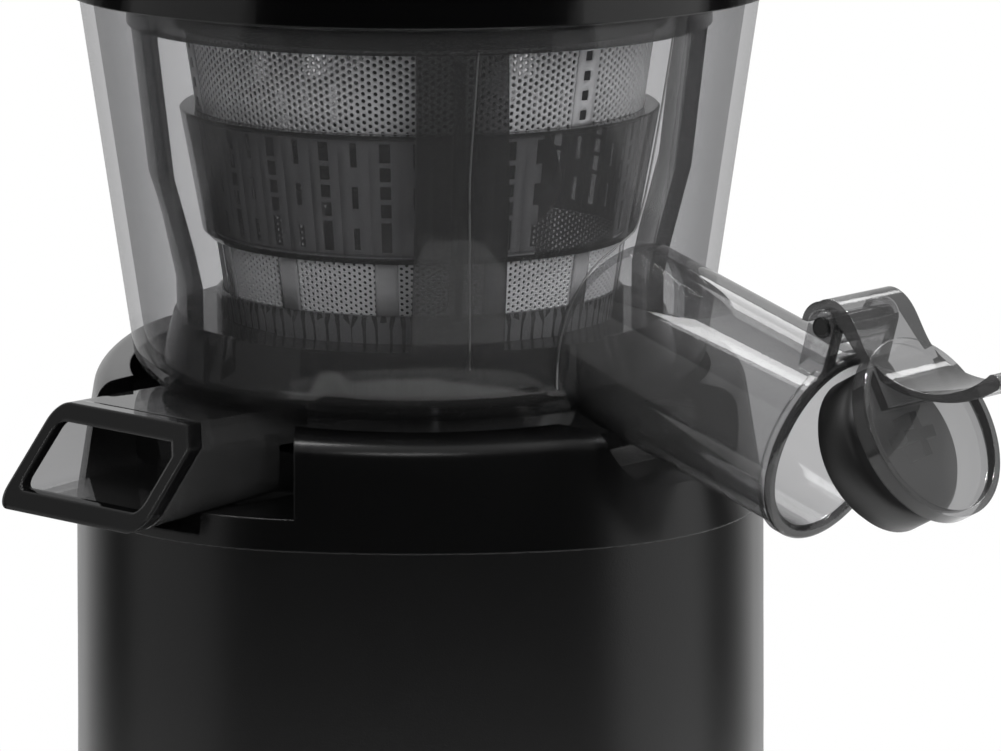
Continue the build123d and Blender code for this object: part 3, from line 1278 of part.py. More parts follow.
with BuildPart() as lid:
    add(turned([
        (0, ceiling_z), (lid_ceiling_radius, ceiling_z),
        (lid_ring_radius - lid_ring_wall, ceiling_z - lid_ring_wall), (lid_ring_radius - lid_ring_wall, strainer_ring_z),
        (lid_ring_radius, strainer_ring_z), (lid_ring_radius, ceiling_z - lid_ring_wall - lid_ring_gap),
        (inner_skirt_inside, rim_top_z + lid_thick), (inner_skirt_inside, lid_inner_skirt_bottom_z),
        (lid_inner_skirt_radius, lid_inner_skirt_bottom_z), (lid_inner_skirt_radius, rim_top_z),
        (lid_skirt_radius - lid_skirt_wall, rim_top_z), (lid_skirt_radius - lid_skirt_wall, lid_skirt_bottom_z),
        (lid_skirt_radius, lid_skirt_bottom_z), (lid_skirt_radius, lid_edge_z - lid_skirt_round),
        (lid_skirt_radius - lid_skirt_round, lid_edge_z), (lid_brow_radius, lid_edge_z + lid_brow_rise),
        (lid_crown_radius, lid_top_z), (0, lid_top_z),
    ]))
    with BuildSketch(Plane.XY.offset(ceiling_z - lid_ring_wall)):
        with Locations(feed_centre):
            Circle(feed_bore + feed_wall)
    extrude(amount=feed_top_z - ceiling_z + lid_ring_wall)
    with BuildSketch(Plane.XY.offset(lid_top_z - lid_thick / 2)):
        with Locations(feed_centre):
            Circle(feed_bore + feed_wall + feed_fillet)
    extrude(amount=feed_fillet + lid_thick / 2, taper=feed_fillet_taper)
    with BuildSketch(Plane.XY.offset(lid_inner_skirt_bottom_z)):
        with Locations(feed_centre):
            Circle(feed_bore)
    extrude(amount=feed_top_z - lid_inner_skirt_bottom_z, mode=Mode.SUBTRACT)
    # bearing for the auger's upper pin, on a bridge from the tube's front wall
    with BuildSketch(Plane.XY.offset(lid_hub_bottom_z)):
        Circle(lid_hub_radius)
        with Locations((0, (feed_offset - feed_bore) / 2)):
            Rectangle(lid_bridge_width, feed_bore - feed_offset + feed_wall)
    extrude(amount=lid_top_z - lid_hub_bottom_z)
    with BuildSketch(Plane.XY.offset(lid_hub_bottom_z)):
        Circle(auger_pin_radius + run_gap)
    extrude(amount=auger_pin_top_z + pin_bevel - lid_hub_bottom_z, mode=Mode.SUBTRACT)
lid.part.label = "lid"
export_step(lid.part, "parts/lid.step")

seal_bottom_z = lid_inner_skirt_bottom_z + lid_skirt_wall / 2
lid_seal = washer(bowl_radius(seal_bottom_z) - bowl_wall - lift_gap, lid_inner_skirt_radius,
                  seal_bottom_z, seal_bottom_z + seal_height)
lid_seal.label = "lid_seal"
export_step(lid_seal, "parts/lid_seal.step")

# ---------------------------------------------------------------- pusher
pusher_radius = feed_bore - pusher_gap
cap_seat_z = feed_top_z + seat_gap

pusher_body = turned([
    (0, pusher_bottom_z), (pusher_radius - pusher_nose, pusher_bottom_z),
    (pusher_radius, pusher_bottom_z + pusher_nose),
    (pusher_radius, cap_seat_z), (pusher_radius - pusher_wall, cap_seat_z),
    (pusher_radius - pusher_wall, pusher_bottom_z + pusher_wall), (0, pusher_bottom_z + pusher_wall),
], feed_centre)
pusher_body.label = "pusher_body"
export_step(pusher_body, "parts/pusher_body.step")

flange_top_z = feed_top_z + pusher_flange_height
grip_top_z = flange_top_z + grip_height
pusher_grip = turned([
    (0, cap_seat_z), (pusher_flange_radius, cap_seat_z), (pusher_flange_radius, flange_top_z - flange_chamfer),
    (pusher_flange_radius - flange_chamfer, flange_top_z), (grip_neck_radius, flange_top_z + flange_chamfer),
    (grip_neck_radius, grip_top_z - grip_head_height), (grip_radius, grip_top_z - grip_head_height + grip_head_taper),
    (grip_radius - grip_dome, grip_top_z - grip_dome), (grip_radius - grip_dome_inset, grip_top_z), (0, grip_top_z),
], feed_centre)
pusher_grip.label = "pusher_grip"
export_step(pusher_grip, "parts/pusher_grip.step")
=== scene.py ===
# %% [markdown]
# # A cold press juicer, dressed in Blender
# The engineer's solids come in first and stay where they are. Each step below then takes one piece
# or one finish of the juicer, says what it is on the real machine, and builds it. All lengths are
# metres, +Z is up, the front looks towards -Y, and the drive axis stands on the origin.

import json
import math

import bpy
from mathutils import Matrix, Vector


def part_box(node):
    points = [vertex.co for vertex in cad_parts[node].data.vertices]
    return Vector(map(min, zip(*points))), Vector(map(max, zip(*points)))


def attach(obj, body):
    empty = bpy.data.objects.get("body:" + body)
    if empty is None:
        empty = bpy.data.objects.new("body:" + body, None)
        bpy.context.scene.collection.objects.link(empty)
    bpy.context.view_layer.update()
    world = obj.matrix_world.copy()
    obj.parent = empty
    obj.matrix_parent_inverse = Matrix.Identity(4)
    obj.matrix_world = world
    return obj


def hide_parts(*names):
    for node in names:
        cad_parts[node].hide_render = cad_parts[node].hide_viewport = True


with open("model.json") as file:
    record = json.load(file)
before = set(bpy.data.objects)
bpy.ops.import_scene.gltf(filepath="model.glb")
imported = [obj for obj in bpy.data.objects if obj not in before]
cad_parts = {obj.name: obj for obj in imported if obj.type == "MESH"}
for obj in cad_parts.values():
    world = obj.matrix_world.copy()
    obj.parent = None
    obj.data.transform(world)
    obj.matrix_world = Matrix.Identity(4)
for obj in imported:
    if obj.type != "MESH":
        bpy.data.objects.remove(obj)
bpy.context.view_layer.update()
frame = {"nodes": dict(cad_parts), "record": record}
cad = frame["nodes"]
MM = 0.001

# %% [markdown]
# ## Small helpers
# Working without a window, an operator acts on whatever is selected. So every step first puts all
# else out of the selection, and picks its own object. These few helpers do that, and they also
# hold the habits that every piece shares: merge doubled points, turn the faces outwards, shade
# smooth across gentle edges only.


# %% Helpers for selecting, shading and placing
def pick(*objects):
    """Makes these the selected objects and the last one the active one."""
    if bpy.context.object is not None and bpy.context.object.mode != "OBJECT":
        bpy.ops.object.mode_set(mode="OBJECT")
    bpy.ops.object.select_all(action="DESELECT")
    for obj in objects:
        obj.select_set(True)
    bpy.context.view_layer.objects.active = objects[-1]


def tidy_mesh(obj, smooth_degrees=30):
    """Merges doubles, turns faces outwards and smooths the gentle edges."""
    pick(obj)
    bpy.ops.object.mode_set(mode="EDIT")
    bpy.ops.mesh.select_all(action="SELECT")
    bpy.ops.mesh.remove_doubles(threshold=0.00001)
    bpy.ops.mesh.normals_make_consistent(inside=False)
    bpy.ops.object.mode_set(mode="OBJECT")
    bpy.ops.object.shade_smooth_by_angle(angle=math.radians(smooth_degrees))
    return obj


def select_faces(obj, wanted):
    """Goes into edit mode with just the wanted faces selected."""
    pick(obj)
    bpy.ops.object.mode_set(mode="EDIT")
    bpy.ops.mesh.select_mode(type="FACE")
    bpy.ops.mesh.select_all(action="DESELECT")
    bpy.ops.object.mode_set(mode="OBJECT")
    for face in obj.data.polygons:
        face.select = bool(wanted(face))
    bpy.ops.object.mode_set(mode="EDIT")


def apply_modifier(obj, kind, **settings):
    """Adds a modifier, sets it up and applies it."""
    pick(obj)
    modifier = obj.modifiers.new(kind.lower(), kind)
    for name, value in settings.items():
        setattr(modifier, name, value)
    bpy.ops.object.modifier_apply(modifier=modifier.name)
    return obj


def combine(obj, cutter, operation):
    """Takes the cutter's volume away from obj, or keeps only that, and deletes the cutter."""
    apply_modifier(obj, "BOOLEAN", operation=operation, solver="EXACT", object=cutter)
    bpy.data.objects.remove(cutter, do_unlink=True)
    tidy_mesh(obj)


def join(name, *objects):
    """Makes one object of several."""
    pick(*objects)
    bpy.ops.object.join()
    joined = bpy.context.object
    joined.name = joined.data.name = name
    return joined


def stand_at(obj, origin, x_way, z_way):
    """Moves a piece drawn in its own frame into the machine and leaves its object at the origin."""
    y_way = z_way.cross(x_way)
    turn = Matrix((x_way, y_way, z_way)).transposed().to_4x4()
    obj.matrix_world = Matrix.Translation(origin) @ turn
    pick(obj)
    bpy.ops.object.transform_apply(location=True, rotation=True, scale=True)


def refined(node, name, smooth_degrees=30):
    """A merged, smooth-shaded copy of an engineer's solid, to be shown in its place."""
    obj = cad[node].copy()
    obj.data = cad[node].data.copy()
    obj.parent = None
    for key in list(obj.keys()):
        del obj[key]
    obj.name = obj.data.name = name
    bpy.context.scene.collection.objects.link(obj)
    obj.data.materials.clear()
    pick(obj)
    if obj.data.has_custom_normals:
        bpy.ops.mesh.customdata_custom_splitnormals_clear()
    return tidy_mesh(obj, smooth_degrees)


def place(obj, body, slot, material, *nodes):
    """Gives a finished piece its body, its finish and the solids that it stands for; the slot is not used."""
    obj.data.materials.clear()
    obj.data.materials.append(material)
    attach(obj, body)
    if nodes:
        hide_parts(*nodes)
    print(obj.name, "rides on", body, "faces", len(obj.data.polygons))


# %% [markdown]
# ## Drawing a profile
# Most plastic parts of a juicer come from two kinds of mould: a turned one, whose section is spun
# about an axis, and a pulled one, whose outline is drawn along a straight way. Both start from one
# line. The line is grown point by point: a plane is merged to a single point, and the point is
# extruded from place to place, and back to where it began.


# %% Profiles, turned and pulled pieces
def closed_line(name, points):
    """Closed line through these points, in edit mode with everything selected."""
    bpy.ops.object.select_all(action="DESELECT")
    bpy.ops.mesh.primitive_plane_add(size=0.001, location=points[0])
    bpy.ops.object.transform_apply(location=True)
    obj = bpy.context.object
    obj.name = obj.data.name = name
    bpy.ops.object.mode_set(mode="EDIT")
    bpy.ops.mesh.select_mode(type="VERT")
    bpy.ops.mesh.select_all(action="SELECT")
    bpy.ops.mesh.merge(type="CENTER")
    for old, new in zip(points, points[1:] + points[:1]):
        step = Vector(new) - Vector(old)
        bpy.ops.mesh.extrude_region_move(TRANSFORM_OT_translate={"value": step})
    bpy.ops.mesh.select_all(action="SELECT")
    bpy.ops.mesh.remove_doubles(threshold=0.000001)
    return obj


def turned(name, points, steps=128, smooth_degrees=30):
    """Closed section of (radius, height) points spun about Z into a watertight ring."""
    obj = closed_line(name, [(r, 0, z) for r, z in points])
    bpy.ops.mesh.spin(steps=steps, angle=2 * math.pi, center=(0, 0, 0), axis=(0, 0, 1))
    bpy.ops.object.mode_set(mode="OBJECT")
    return tidy_mesh(obj, smooth_degrees)


def pulled(name, points, way):
    """Closed outline pulled along a straight way into a prism."""
    obj = closed_line(name, points)
    bpy.ops.mesh.edge_face_add()
    bpy.ops.mesh.extrude_region_move(TRANSFORM_OT_translate={"value": way})
    bpy.ops.object.mode_set(mode="OBJECT")
    return tidy_mesh(obj)


# %% [markdown]
# ## Camera
# A long lens from the front, a little above the bowl, keeps the verticals nearly parallel. The view
# is a close one: the lid's lower edge is at the top of the picture and the base runs out below.

# %% Camera
CAMERA_SPOT = Vector((18.3, -1378.0, 450.0)) * MM
CAMERA_DOWN = 10.34
LENS, SENSOR_WIDTH = 220.3, 36.0
NEAREST_SEEN, FARTHEST_SEEN = 0.05, 30
camera_data = bpy.data.cameras.new("camera")
camera = bpy.data.objects.new("camera", camera_data)
bpy.context.scene.collection.objects.link(camera)
camera.location = CAMERA_SPOT
camera.rotation_euler = (math.radians(90 - CAMERA_DOWN), 0, 0)
camera_data.lens = LENS
camera_data.sensor_width = SENSOR_WIDTH
camera_data.clip_start = NEAREST_SEEN
camera_data.clip_end = FARTHEST_SEEN
bpy.context.scene.camera = camera
bpy.context.scene.view_settings.view_transform = "Standard"

# %% [markdown]
# ## Studio
# Black gloss shows the room more than itself. The room is dark on the camera's side and pale behind
# and above the machine. Two tall soft boxes stand at its sides, so that their reflections draw the
# long bands down the base, and narrow strips draw the thin lights on the shoulder and the rims. The
# camera itself sees plain white in every direction.


# %% World
DARK_FRONT, PALE_BACK = 0.015, 0.8
DARK_LEVEL, PALE_TOP = 0.0, 0.55
BACK_FROM, BACK_TO = 0.45, 0.95
TOP_FROM, TOP_TO = 0.35, 1.0


def blend(tree, source, start, stop, low, high):
    """Smooth change from low to high while the source goes from start to stop."""
    change = tree.nodes.new("ShaderNodeMapRange")
    change.interpolation_type = "SMOOTHSTEP"
    change.inputs["From Min"].default_value = start
    change.inputs["From Max"].default_value = stop
    change.inputs["To Min"].default_value = low
    change.inputs["To Max"].default_value = high
    tree.links.new(source, change.inputs["Value"])
    return change


def new_world():
    """White for the camera, a studio with a dark front for all else."""
    world = bpy.data.worlds.new("studio")
    world.use_nodes = True
    tree = world.node_tree
    tree.nodes.clear()
    out = tree.nodes.new("ShaderNodeOutputWorld")
    white = tree.nodes.new("ShaderNodeBackground")
    white.inputs["Color"].default_value = (1, 1, 1, 1)
    room = tree.nodes.new("ShaderNodeBackground")
    ray = tree.nodes.new("ShaderNodeLightPath")
    choose = tree.nodes.new("ShaderNodeMixShader")
    tree.links.new(ray.outputs["Is Camera Ray"], choose.inputs["Fac"])
    tree.links.new(room.outputs[0], choose.inputs[1])
    tree.links.new(white.outputs[0], choose.inputs[2])
    tree.links.new(choose.outputs[0], out.inputs["Surface"])
    way = tree.nodes.new("ShaderNodeTexCoord")
    parts = tree.nodes.new("ShaderNodeSeparateXYZ")
    tree.links.new(way.outputs["Generated"], parts.inputs[0])
    depth = blend(tree, parts.outputs["Y"], BACK_FROM, BACK_TO, DARK_FRONT, PALE_BACK)
    top = blend(tree, parts.outputs["Z"], TOP_FROM, TOP_TO, DARK_LEVEL, PALE_TOP)
    total = tree.nodes.new("ShaderNodeMath")
    total.operation = "MAXIMUM"
    tree.links.new(depth.outputs[0], total.inputs[0])
    tree.links.new(top.outputs[0], total.inputs[1])
    tree.links.new(total.outputs[0], room.inputs["Color"])
    bpy.context.scene.world = world


new_world()


# %% Soft boxes
LAMP_AIM = Vector((0, 0, 0.2))


def soft_box(name, azimuth, distance, height, width, tall, watts):
    """A rectangular lamp that looks at the middle of the machine; azimuth 0 is the camera's side."""
    lamp = bpy.data.lights.new(name, "AREA")
    lamp.shape = "RECTANGLE"
    lamp.size = width
    lamp.size_y = tall
    lamp.energy = watts
    obj = bpy.data.objects.new(name, lamp)
    bpy.context.scene.collection.objects.link(obj)
    turn = math.radians(azimuth)
    obj.location = (math.sin(turn) * distance, -math.cos(turn) * distance, height)
    look = LAMP_AIM - obj.location
    obj.rotation_euler = look.to_track_quat("-Z", "Y").to_euler()
    return obj


soft_box("left_box", azimuth=-78, distance=1.5, height=0.45, width=1.5, tall=1.6, watts=3.2)
soft_box("right_box", azimuth=78, distance=1.5, height=0.45, width=1.5, tall=1.6, watts=6.5)
soft_box("top_box", azimuth=165, distance=1.1, height=1.4, width=0.9, tall=0.7, watts=12)
soft_box("overhead_strip", azimuth=-73, distance=0.46, height=1.25, width=0.12, tall=0.7, watts=3.2)
soft_box("corner_strip", azimuth=85, distance=0.78, height=1.1, width=0.12, tall=0.3, watts=14)
soft_box("front_strip", azimuth=-4, distance=1.6, height=1.3, width=0.6, tall=0.12, watts=2.0)
front_fill = soft_box("front_fill", azimuth=22, distance=1.7, height=1.0, width=1.0, tall=1.0, watts=27)
front_fill.visible_glossy = False
print("lamps", len(bpy.data.lights))


# %% [markdown]
# ## Floor
# A round pale table top. It is lit like the machine, so it keeps its shadow, and the camera sees it
# almost white, so that it melts into the background.


# %% Floor
FLOOR_RADIUS, FLOOR_Z, FLOOR_SIDES = 0.45, -0.5 * MM, 96
FLOOR_GREY, FLOOR_GLOW = 0.8, 0.86


def make_floor():
    """Round table top that glows for the camera alone."""
    bpy.ops.mesh.primitive_circle_add(vertices=FLOOR_SIDES, radius=FLOOR_RADIUS, fill_type="NGON",
                                      location=(0, 0, FLOOR_Z))
    floor = bpy.context.object
    floor.name = "floor"
    material = bpy.data.materials.new("pale_table")
    material.use_nodes = True
    tree = material.node_tree
    tree.nodes.clear()
    out = tree.nodes.new("ShaderNodeOutputMaterial")
    paint = tree.nodes.new("ShaderNodeBsdfDiffuse")
    paint.inputs["Color"].default_value = (FLOOR_GREY, FLOOR_GREY, FLOOR_GREY, 1)
    glow = tree.nodes.new("ShaderNodeEmission")
    ray = tree.nodes.new("ShaderNodeLightPath")
    share = tree.nodes.new("ShaderNodeMath")
    share.operation = "MULTIPLY"
    share.inputs[1].default_value = FLOOR_GLOW
    mix = tree.nodes.new("ShaderNodeMixShader")
    tree.links.new(ray.outputs["Is Camera Ray"], share.inputs[0])
    tree.links.new(share.outputs[0], mix.inputs["Fac"])
    tree.links.new(paint.outputs[0], mix.inputs[1])
    tree.links.new(glow.outputs[0], mix.inputs[2])
    tree.links.new(mix.outputs[0], out.inputs["Surface"])
    floor.data.materials.append(material)


make_floor()

# %% [markdown]
# ## Shared surface effects
# Two effects turn up all over the machine: the fine grain that a spark-eroded mould leaves on satin
# plastic, and the soft smears that a polished part picks up when it is wiped. Each is one node
# group, and every material sets its own amounts.


# %% Shader group: moulded surface
SMEAR_SCALE, SMEAR_DETAIL, SMEAR_TWIST, GRAIN_DETAIL = 14.0, 4.0, 0.6, 2.0


def surface_group():
    """Group that gives a roughness and a height: fine mould grain plus broad wiping smears."""
    group = bpy.data.node_groups.new("moulded_surface", "ShaderNodeTree")
    sockets = group.interface
    for name, default in (("Roughness", 0.4), ("Smears", 0.1), ("Grain Size", 2500.0)):
        sock = sockets.new_socket(name=name, in_out="INPUT", socket_type="NodeSocketFloat")
        sock.default_value = default
    for name in ("Roughness", "Height"):
        sockets.new_socket(name=name, in_out="OUTPUT", socket_type="NodeSocketFloat")
    nodes, links = group.nodes, group.links
    given = nodes.new("NodeGroupInput")
    result = nodes.new("NodeGroupOutput")
    where = nodes.new("ShaderNodeTexCoord")
    smear = nodes.new("ShaderNodeTexNoise")
    smear.inputs["Scale"].default_value = SMEAR_SCALE
    smear.inputs["Detail"].default_value = SMEAR_DETAIL
    smear.inputs["Distortion"].default_value = SMEAR_TWIST
    grain = nodes.new("ShaderNodeTexNoise")
    grain.inputs["Detail"].default_value = GRAIN_DETAIL
    links.new(where.outputs["Object"], smear.inputs["Vector"])
    links.new(where.outputs["Object"], grain.inputs["Vector"])
    links.new(given.outputs["Grain Size"], grain.inputs["Scale"])
    centred = nodes.new("ShaderNodeMath")
    centred.operation = "SUBTRACT"
    centred.inputs[1].default_value = 0.5
    links.new(smear.outputs["Fac"], centred.inputs[0])
    amount = nodes.new("ShaderNodeMath")
    amount.operation = "MULTIPLY_ADD"
    links.new(centred.outputs[0], amount.inputs[0])
    links.new(given.outputs["Smears"], amount.inputs[1])
    links.new(given.outputs["Roughness"], amount.inputs[2])
    amount.use_clamp = True
    links.new(amount.outputs[0], result.inputs["Roughness"])
    links.new(grain.outputs["Fac"], result.inputs["Height"])
    return group


moulded = surface_group()


# %% Opaque finishes
CLOUD_SCALE, CLOUD_DETAIL = 35.0, 5.0
RELIEF_DEPTH = 0.2 * MM
BEVEL_SAMPLES = 4


def start_material(name):
    """Empty node material with its output node."""
    material = bpy.data.materials.new(name)
    material.use_nodes = True
    material.node_tree.nodes.clear()
    out = material.node_tree.nodes.new("ShaderNodeOutputMaterial")
    return material, material.node_tree, out


def soften_edges(tree, radius, socket):
    """Rounds the normals near sharp edges, so that they catch a thin light."""
    rounding = tree.nodes.new("ShaderNodeBevel")
    rounding.samples = BEVEL_SAMPLES
    rounding.inputs["Radius"].default_value = radius
    tree.links.new(rounding.outputs[0], socket)


def opaque(name, colour, rough, smears=0.1, grain=2500.0, bump=0.02, metal=0.0, vary=0.25, edge=0.0):
    """Moulded or turned surface: one shader with varied colour, roughness and a fine bump."""
    material, tree, out = start_material(name)
    shader = tree.nodes.new("ShaderNodeBsdfPrincipled")
    shader.inputs["Metallic"].default_value = metal
    surface = tree.nodes.new("ShaderNodeGroup")
    surface.node_tree = moulded
    surface.inputs["Roughness"].default_value = rough
    surface.inputs["Smears"].default_value = smears
    surface.inputs["Grain Size"].default_value = grain
    where = tree.nodes.new("ShaderNodeTexCoord")
    cloud = tree.nodes.new("ShaderNodeTexNoise")
    cloud.inputs["Scale"].default_value = CLOUD_SCALE
    cloud.inputs["Detail"].default_value = CLOUD_DETAIL
    tint = tree.nodes.new("ShaderNodeMix")
    tint.data_type = "RGBA"
    tint.inputs["A"].default_value = (*[c * (1 - vary) for c in colour], 1)
    tint.inputs["B"].default_value = (*[min(1.0, c * (1 + vary)) for c in colour], 1)
    tree.links.new(where.outputs["Object"], cloud.inputs["Vector"])
    tree.links.new(cloud.outputs["Fac"], tint.inputs["Factor"])
    tree.links.new(tint.outputs["Result"], shader.inputs["Base Color"])
    tree.links.new(surface.outputs["Roughness"], shader.inputs["Roughness"])
    relief = tree.nodes.new("ShaderNodeBump")
    relief.inputs["Strength"].default_value = bump
    relief.inputs["Distance"].default_value = RELIEF_DEPTH
    if edge > 0:
        soften_edges(tree, edge, relief.inputs["Normal"])
    tree.links.new(surface.outputs["Height"], relief.inputs["Height"])
    tree.links.new(relief.outputs[0], shader.inputs["Normal"])
    tree.links.new(shader.outputs[0], out.inputs["Surface"])
    return material


satin_black = opaque("satin_black", (0.0006, 0.0006, 0.00065), 0.3, smears=0.06, bump=0.12)
gloss_black = opaque("gloss_black", (0.001, 0.001, 0.00105), 0.16, smears=0.08, bump=0.0, edge=0.0006)
soft_gloss = opaque("soft_gloss", (0.001, 0.001, 0.00105), 0.26, smears=0.1, bump=0.0, edge=0.0006)
black_rubber = opaque("black_rubber", (0.005, 0.005, 0.005), 0.5, smears=0.2, grain=1500.0, bump=0.08)
steel = opaque("steel", (0.55, 0.55, 0.56), 0.28, smears=0.2, grain=4000.0, metal=1.0, bump=0.05)
core_steel = opaque("core_steel", (0.25, 0.25, 0.27), 0.4, metal=1.0, smears=0.2)
cast_aluminium = opaque("cast_aluminium", (0.62, 0.63, 0.64), 0.45, metal=1.0, grain=1800.0, bump=0.3)
copper_wire = opaque("copper_wire", (0.65, 0.28, 0.13), 0.3, metal=1.0, grain=900.0, bump=0.5)
circuit_board = opaque("circuit_board", (0.02, 0.16, 0.06), 0.35, smears=0.1, grain=800.0, bump=0.1)
white_nylon = opaque("white_nylon", (0.75, 0.74, 0.68), 0.4, smears=0.1, vary=0.06)
sieve_steel = opaque("sieve_steel", (0.86, 0.86, 0.87), 0.42, metal=0.2, smears=0.15, grain=3000.0,
                     bump=0.05, vary=0.05)
auger_grey = opaque("auger_grey", (0.02, 0.02, 0.022), 0.35, smears=0.15, bump=0.08)
grey_silicone = opaque("grey_silicone", (0.10, 0.10, 0.105), 0.45, smears=0.1, grain=1800.0, bump=0.06)
# Opaque black for the chute's thick clear frame, partly its real dark tint and partly painted shade; it also
# finishes the cap's pin.
rim_shade_and_pin_black = opaque("rim_shade_and_pin_black", (0.003, 0.003, 0.0031), 0.06, smears=0.1, bump=0.0, edge=0.001)
print("opaque finishes ready")


# %% [markdown]
# ## Clear smoke plastic
# The bowl, the tube, the chute and the cap are moulded in a clear grey plastic. A wall this thin
# hardly bends what stands behind it, so it is not made as solid glass: light goes straight through
# and is darkened a little at each face, more where the face is seen edge on, because there the way
# through the wall is longer. On top lies a clean mirror that grows towards the edges.


# %% Clear plastic
# Share of light let through by faces marked as rims: partly the longer way through the tint, partly painted
# shade.
RIM_SHADED_PASS = 0.2
CLEAR_ROUGH = 0.03
HEAD_ON_MIRROR, MIRROR_POWER = 0.04, 5.0
BLUE_FACE_ON, BLUE_EDGE_ON = 1.005, 1.01


def mark_shaded_rim(obj, is_rim):
    """Marks the narrow faces behind which the plastic is deep, to be darkened: partly for the longer way
    through the tint, partly as painted shade.
    """
    rim_shade_mask = obj.data.attributes.new("rim_shade_mask", "FLOAT", "FACE")
    for face in obj.data.polygons:
        rim_shade_mask.data[face.index].value = 1.0 if is_rim(face) else 0.0


def clear_plastic(name, face_on, edge_on, haze, haze_colour, mirror=1.0, power=3.0, edge=0.0):
    """Tinted see-through shader with a mirror; face_on and edge_on are what a face lets through."""
    material, tree, out = start_material(name)
    lean = tree.nodes.new("ShaderNodeLayerWeight")
    lean.inputs["Blend"].default_value = 0.5
    slant = tree.nodes.new("ShaderNodeMath")
    slant.operation = "POWER"
    slant.inputs[1].default_value = power
    tree.links.new(lean.outputs["Facing"], slant.inputs[0])
    tint = tree.nodes.new("ShaderNodeMix")
    tint.data_type = "RGBA"
    tint.inputs["A"].default_value = (face_on, face_on, face_on * BLUE_FACE_ON, 1)
    tint.inputs["B"].default_value = (edge_on, edge_on, edge_on * BLUE_EDGE_ON, 1)
    tree.links.new(slant.outputs[0], tint.inputs["Factor"])
    # Marked rim faces let much less light through: partly for the longer way through the tinted plastic,
    # partly as painted shade for the dark edges that bending of light draws on clear plastic.
    marked = tree.nodes.new("ShaderNodeAttribute")
    marked.attribute_name = "rim_shade_mask"
    keep = tree.nodes.new("ShaderNodeMapRange")
    keep.inputs["To Min"].default_value = 1.0
    keep.inputs["To Max"].default_value = RIM_SHADED_PASS
    tree.links.new(marked.outputs["Fac"], keep.inputs["Value"])
    shaded_tint = tree.nodes.new("ShaderNodeVectorMath")
    shaded_tint.operation = "SCALE"
    tree.links.new(tint.outputs["Result"], shaded_tint.inputs[0])
    tree.links.new(keep.outputs[0], shaded_tint.inputs["Scale"])
    through = tree.nodes.new("ShaderNodeBsdfTransparent")
    tree.links.new(shaded_tint.outputs[0], through.inputs["Color"])
    mist = tree.nodes.new("ShaderNodeBsdfDiffuse")
    mist.inputs["Color"].default_value = (haze_colour, haze_colour, haze_colour, 1)
    inner = tree.nodes.new("ShaderNodeMixShader")
    inner.inputs["Fac"].default_value = haze
    tree.links.new(through.outputs[0], inner.inputs[1])
    tree.links.new(mist.outputs[0], inner.inputs[2])
    surface = tree.nodes.new("ShaderNodeGroup")
    surface.node_tree = moulded
    surface.inputs["Roughness"].default_value = CLEAR_ROUGH
    surface.inputs["Smears"].default_value = CLEAR_ROUGH
    shine = tree.nodes.new("ShaderNodeBsdfGlossy")
    if edge > 0:
        soften_edges(tree, edge, shine.inputs["Normal"])
    tree.links.new(surface.outputs["Roughness"], shine.inputs["Roughness"])
    fifth = tree.nodes.new("ShaderNodeMath")
    fifth.operation = "POWER"
    fifth.inputs[1].default_value = MIRROR_POWER
    tree.links.new(lean.outputs["Facing"], fifth.inputs[0])
    share = tree.nodes.new("ShaderNodeMath")
    share.operation = "MULTIPLY_ADD"
    share.inputs[1].default_value = (1 - HEAD_ON_MIRROR) * mirror
    share.inputs[2].default_value = HEAD_ON_MIRROR * mirror
    share.use_clamp = True
    tree.links.new(fifth.outputs[0], share.inputs[0])
    both = tree.nodes.new("ShaderNodeMixShader")
    tree.links.new(share.outputs[0], both.inputs["Fac"])
    tree.links.new(inner.outputs[0], both.inputs[1])
    tree.links.new(shine.outputs[0], both.inputs[2])
    tree.links.new(both.outputs[0], out.inputs["Surface"])
    return material


smoke_clear = clear_plastic("smoke_clear", 0.83, 0.5, haze=0.03, haze_colour=0.4, mirror=0.6)
smoke_tube = clear_plastic("smoke_tube", 0.72, 0.1, haze=0.04, haze_colour=0.4, power=2.5, edge=0.0005)
smoke_pale = clear_plastic("smoke_pale", 0.66, 0.05, haze=0.06, haze_colour=0.4, power=2.0, edge=0.0006)
smoke_dark = clear_plastic("smoke_dark", 0.45, 0.12, haze=0.06, haze_colour=0.2, edge=0.001)
chute_smoke = clear_plastic("chute_smoke", 0.6, 0.12, haze=0.07, haze_colour=0.22, edge=0.001)
# Darker smoke of the tube's mouth bead: partly the longer way through the tint, partly painted shade.
smoke_and_rim_shade = clear_plastic("smoke_and_rim_shade", 0.3, 0.02, haze=0.04, haze_colour=0.2, power=1.5, edge=0.0006)
cage_smoke = clear_plastic("cage_smoke", 0.42, 0.15, haze=0.15, haze_colour=0.06, edge=0.0006)
belt_smoke = clear_plastic("belt_smoke", 0.66, 0.35, haze=0.08, haze_colour=0.2, edge=0.0003)
bead_clear = clear_plastic("bead_clear", 0.6, 0.4, haze=0.5, haze_colour=0.25)
post_clear = clear_plastic("post_clear", 0.9, 0.5, haze=0.3, haze_colour=0.8, edge=0.0003)
print("clear finishes ready")

# %% [markdown]
# ## The sieve cone
# The strainer is a cone of thin punched steel. Its upper zone has round holes of a millimetre on a
# honeycomb grid, its lower zone has slightly smaller ones, closer together, and the zone behind the
# belt has columns of upright slots. The holes are real ones here. One hole is modelled in one
# hexagon of sheet, the hexagon is repeated flat in rows and columns, and the flat strip is trimmed
# straight, rolled up to the cone's radius at each height, and given its thickness.

# %% Where the sieve stands
sieve_low, sieve_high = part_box("strainer_mesh")
belt_low, belt_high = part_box("strainer_belt")
foot_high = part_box("strainer_base")[1]
SHEET = 0.5 * MM
CONE_TAPER, CONE_HEIGHT = 10.3, 69.8
sieve_top_radius = sieve_high.x
sieve_lean = CONE_TAPER / CONE_HEIGHT


def sieve_radius(z):
    """Outer radius of the cone at this height."""
    return sieve_top_radius - (sieve_high.z - z) * sieve_lean


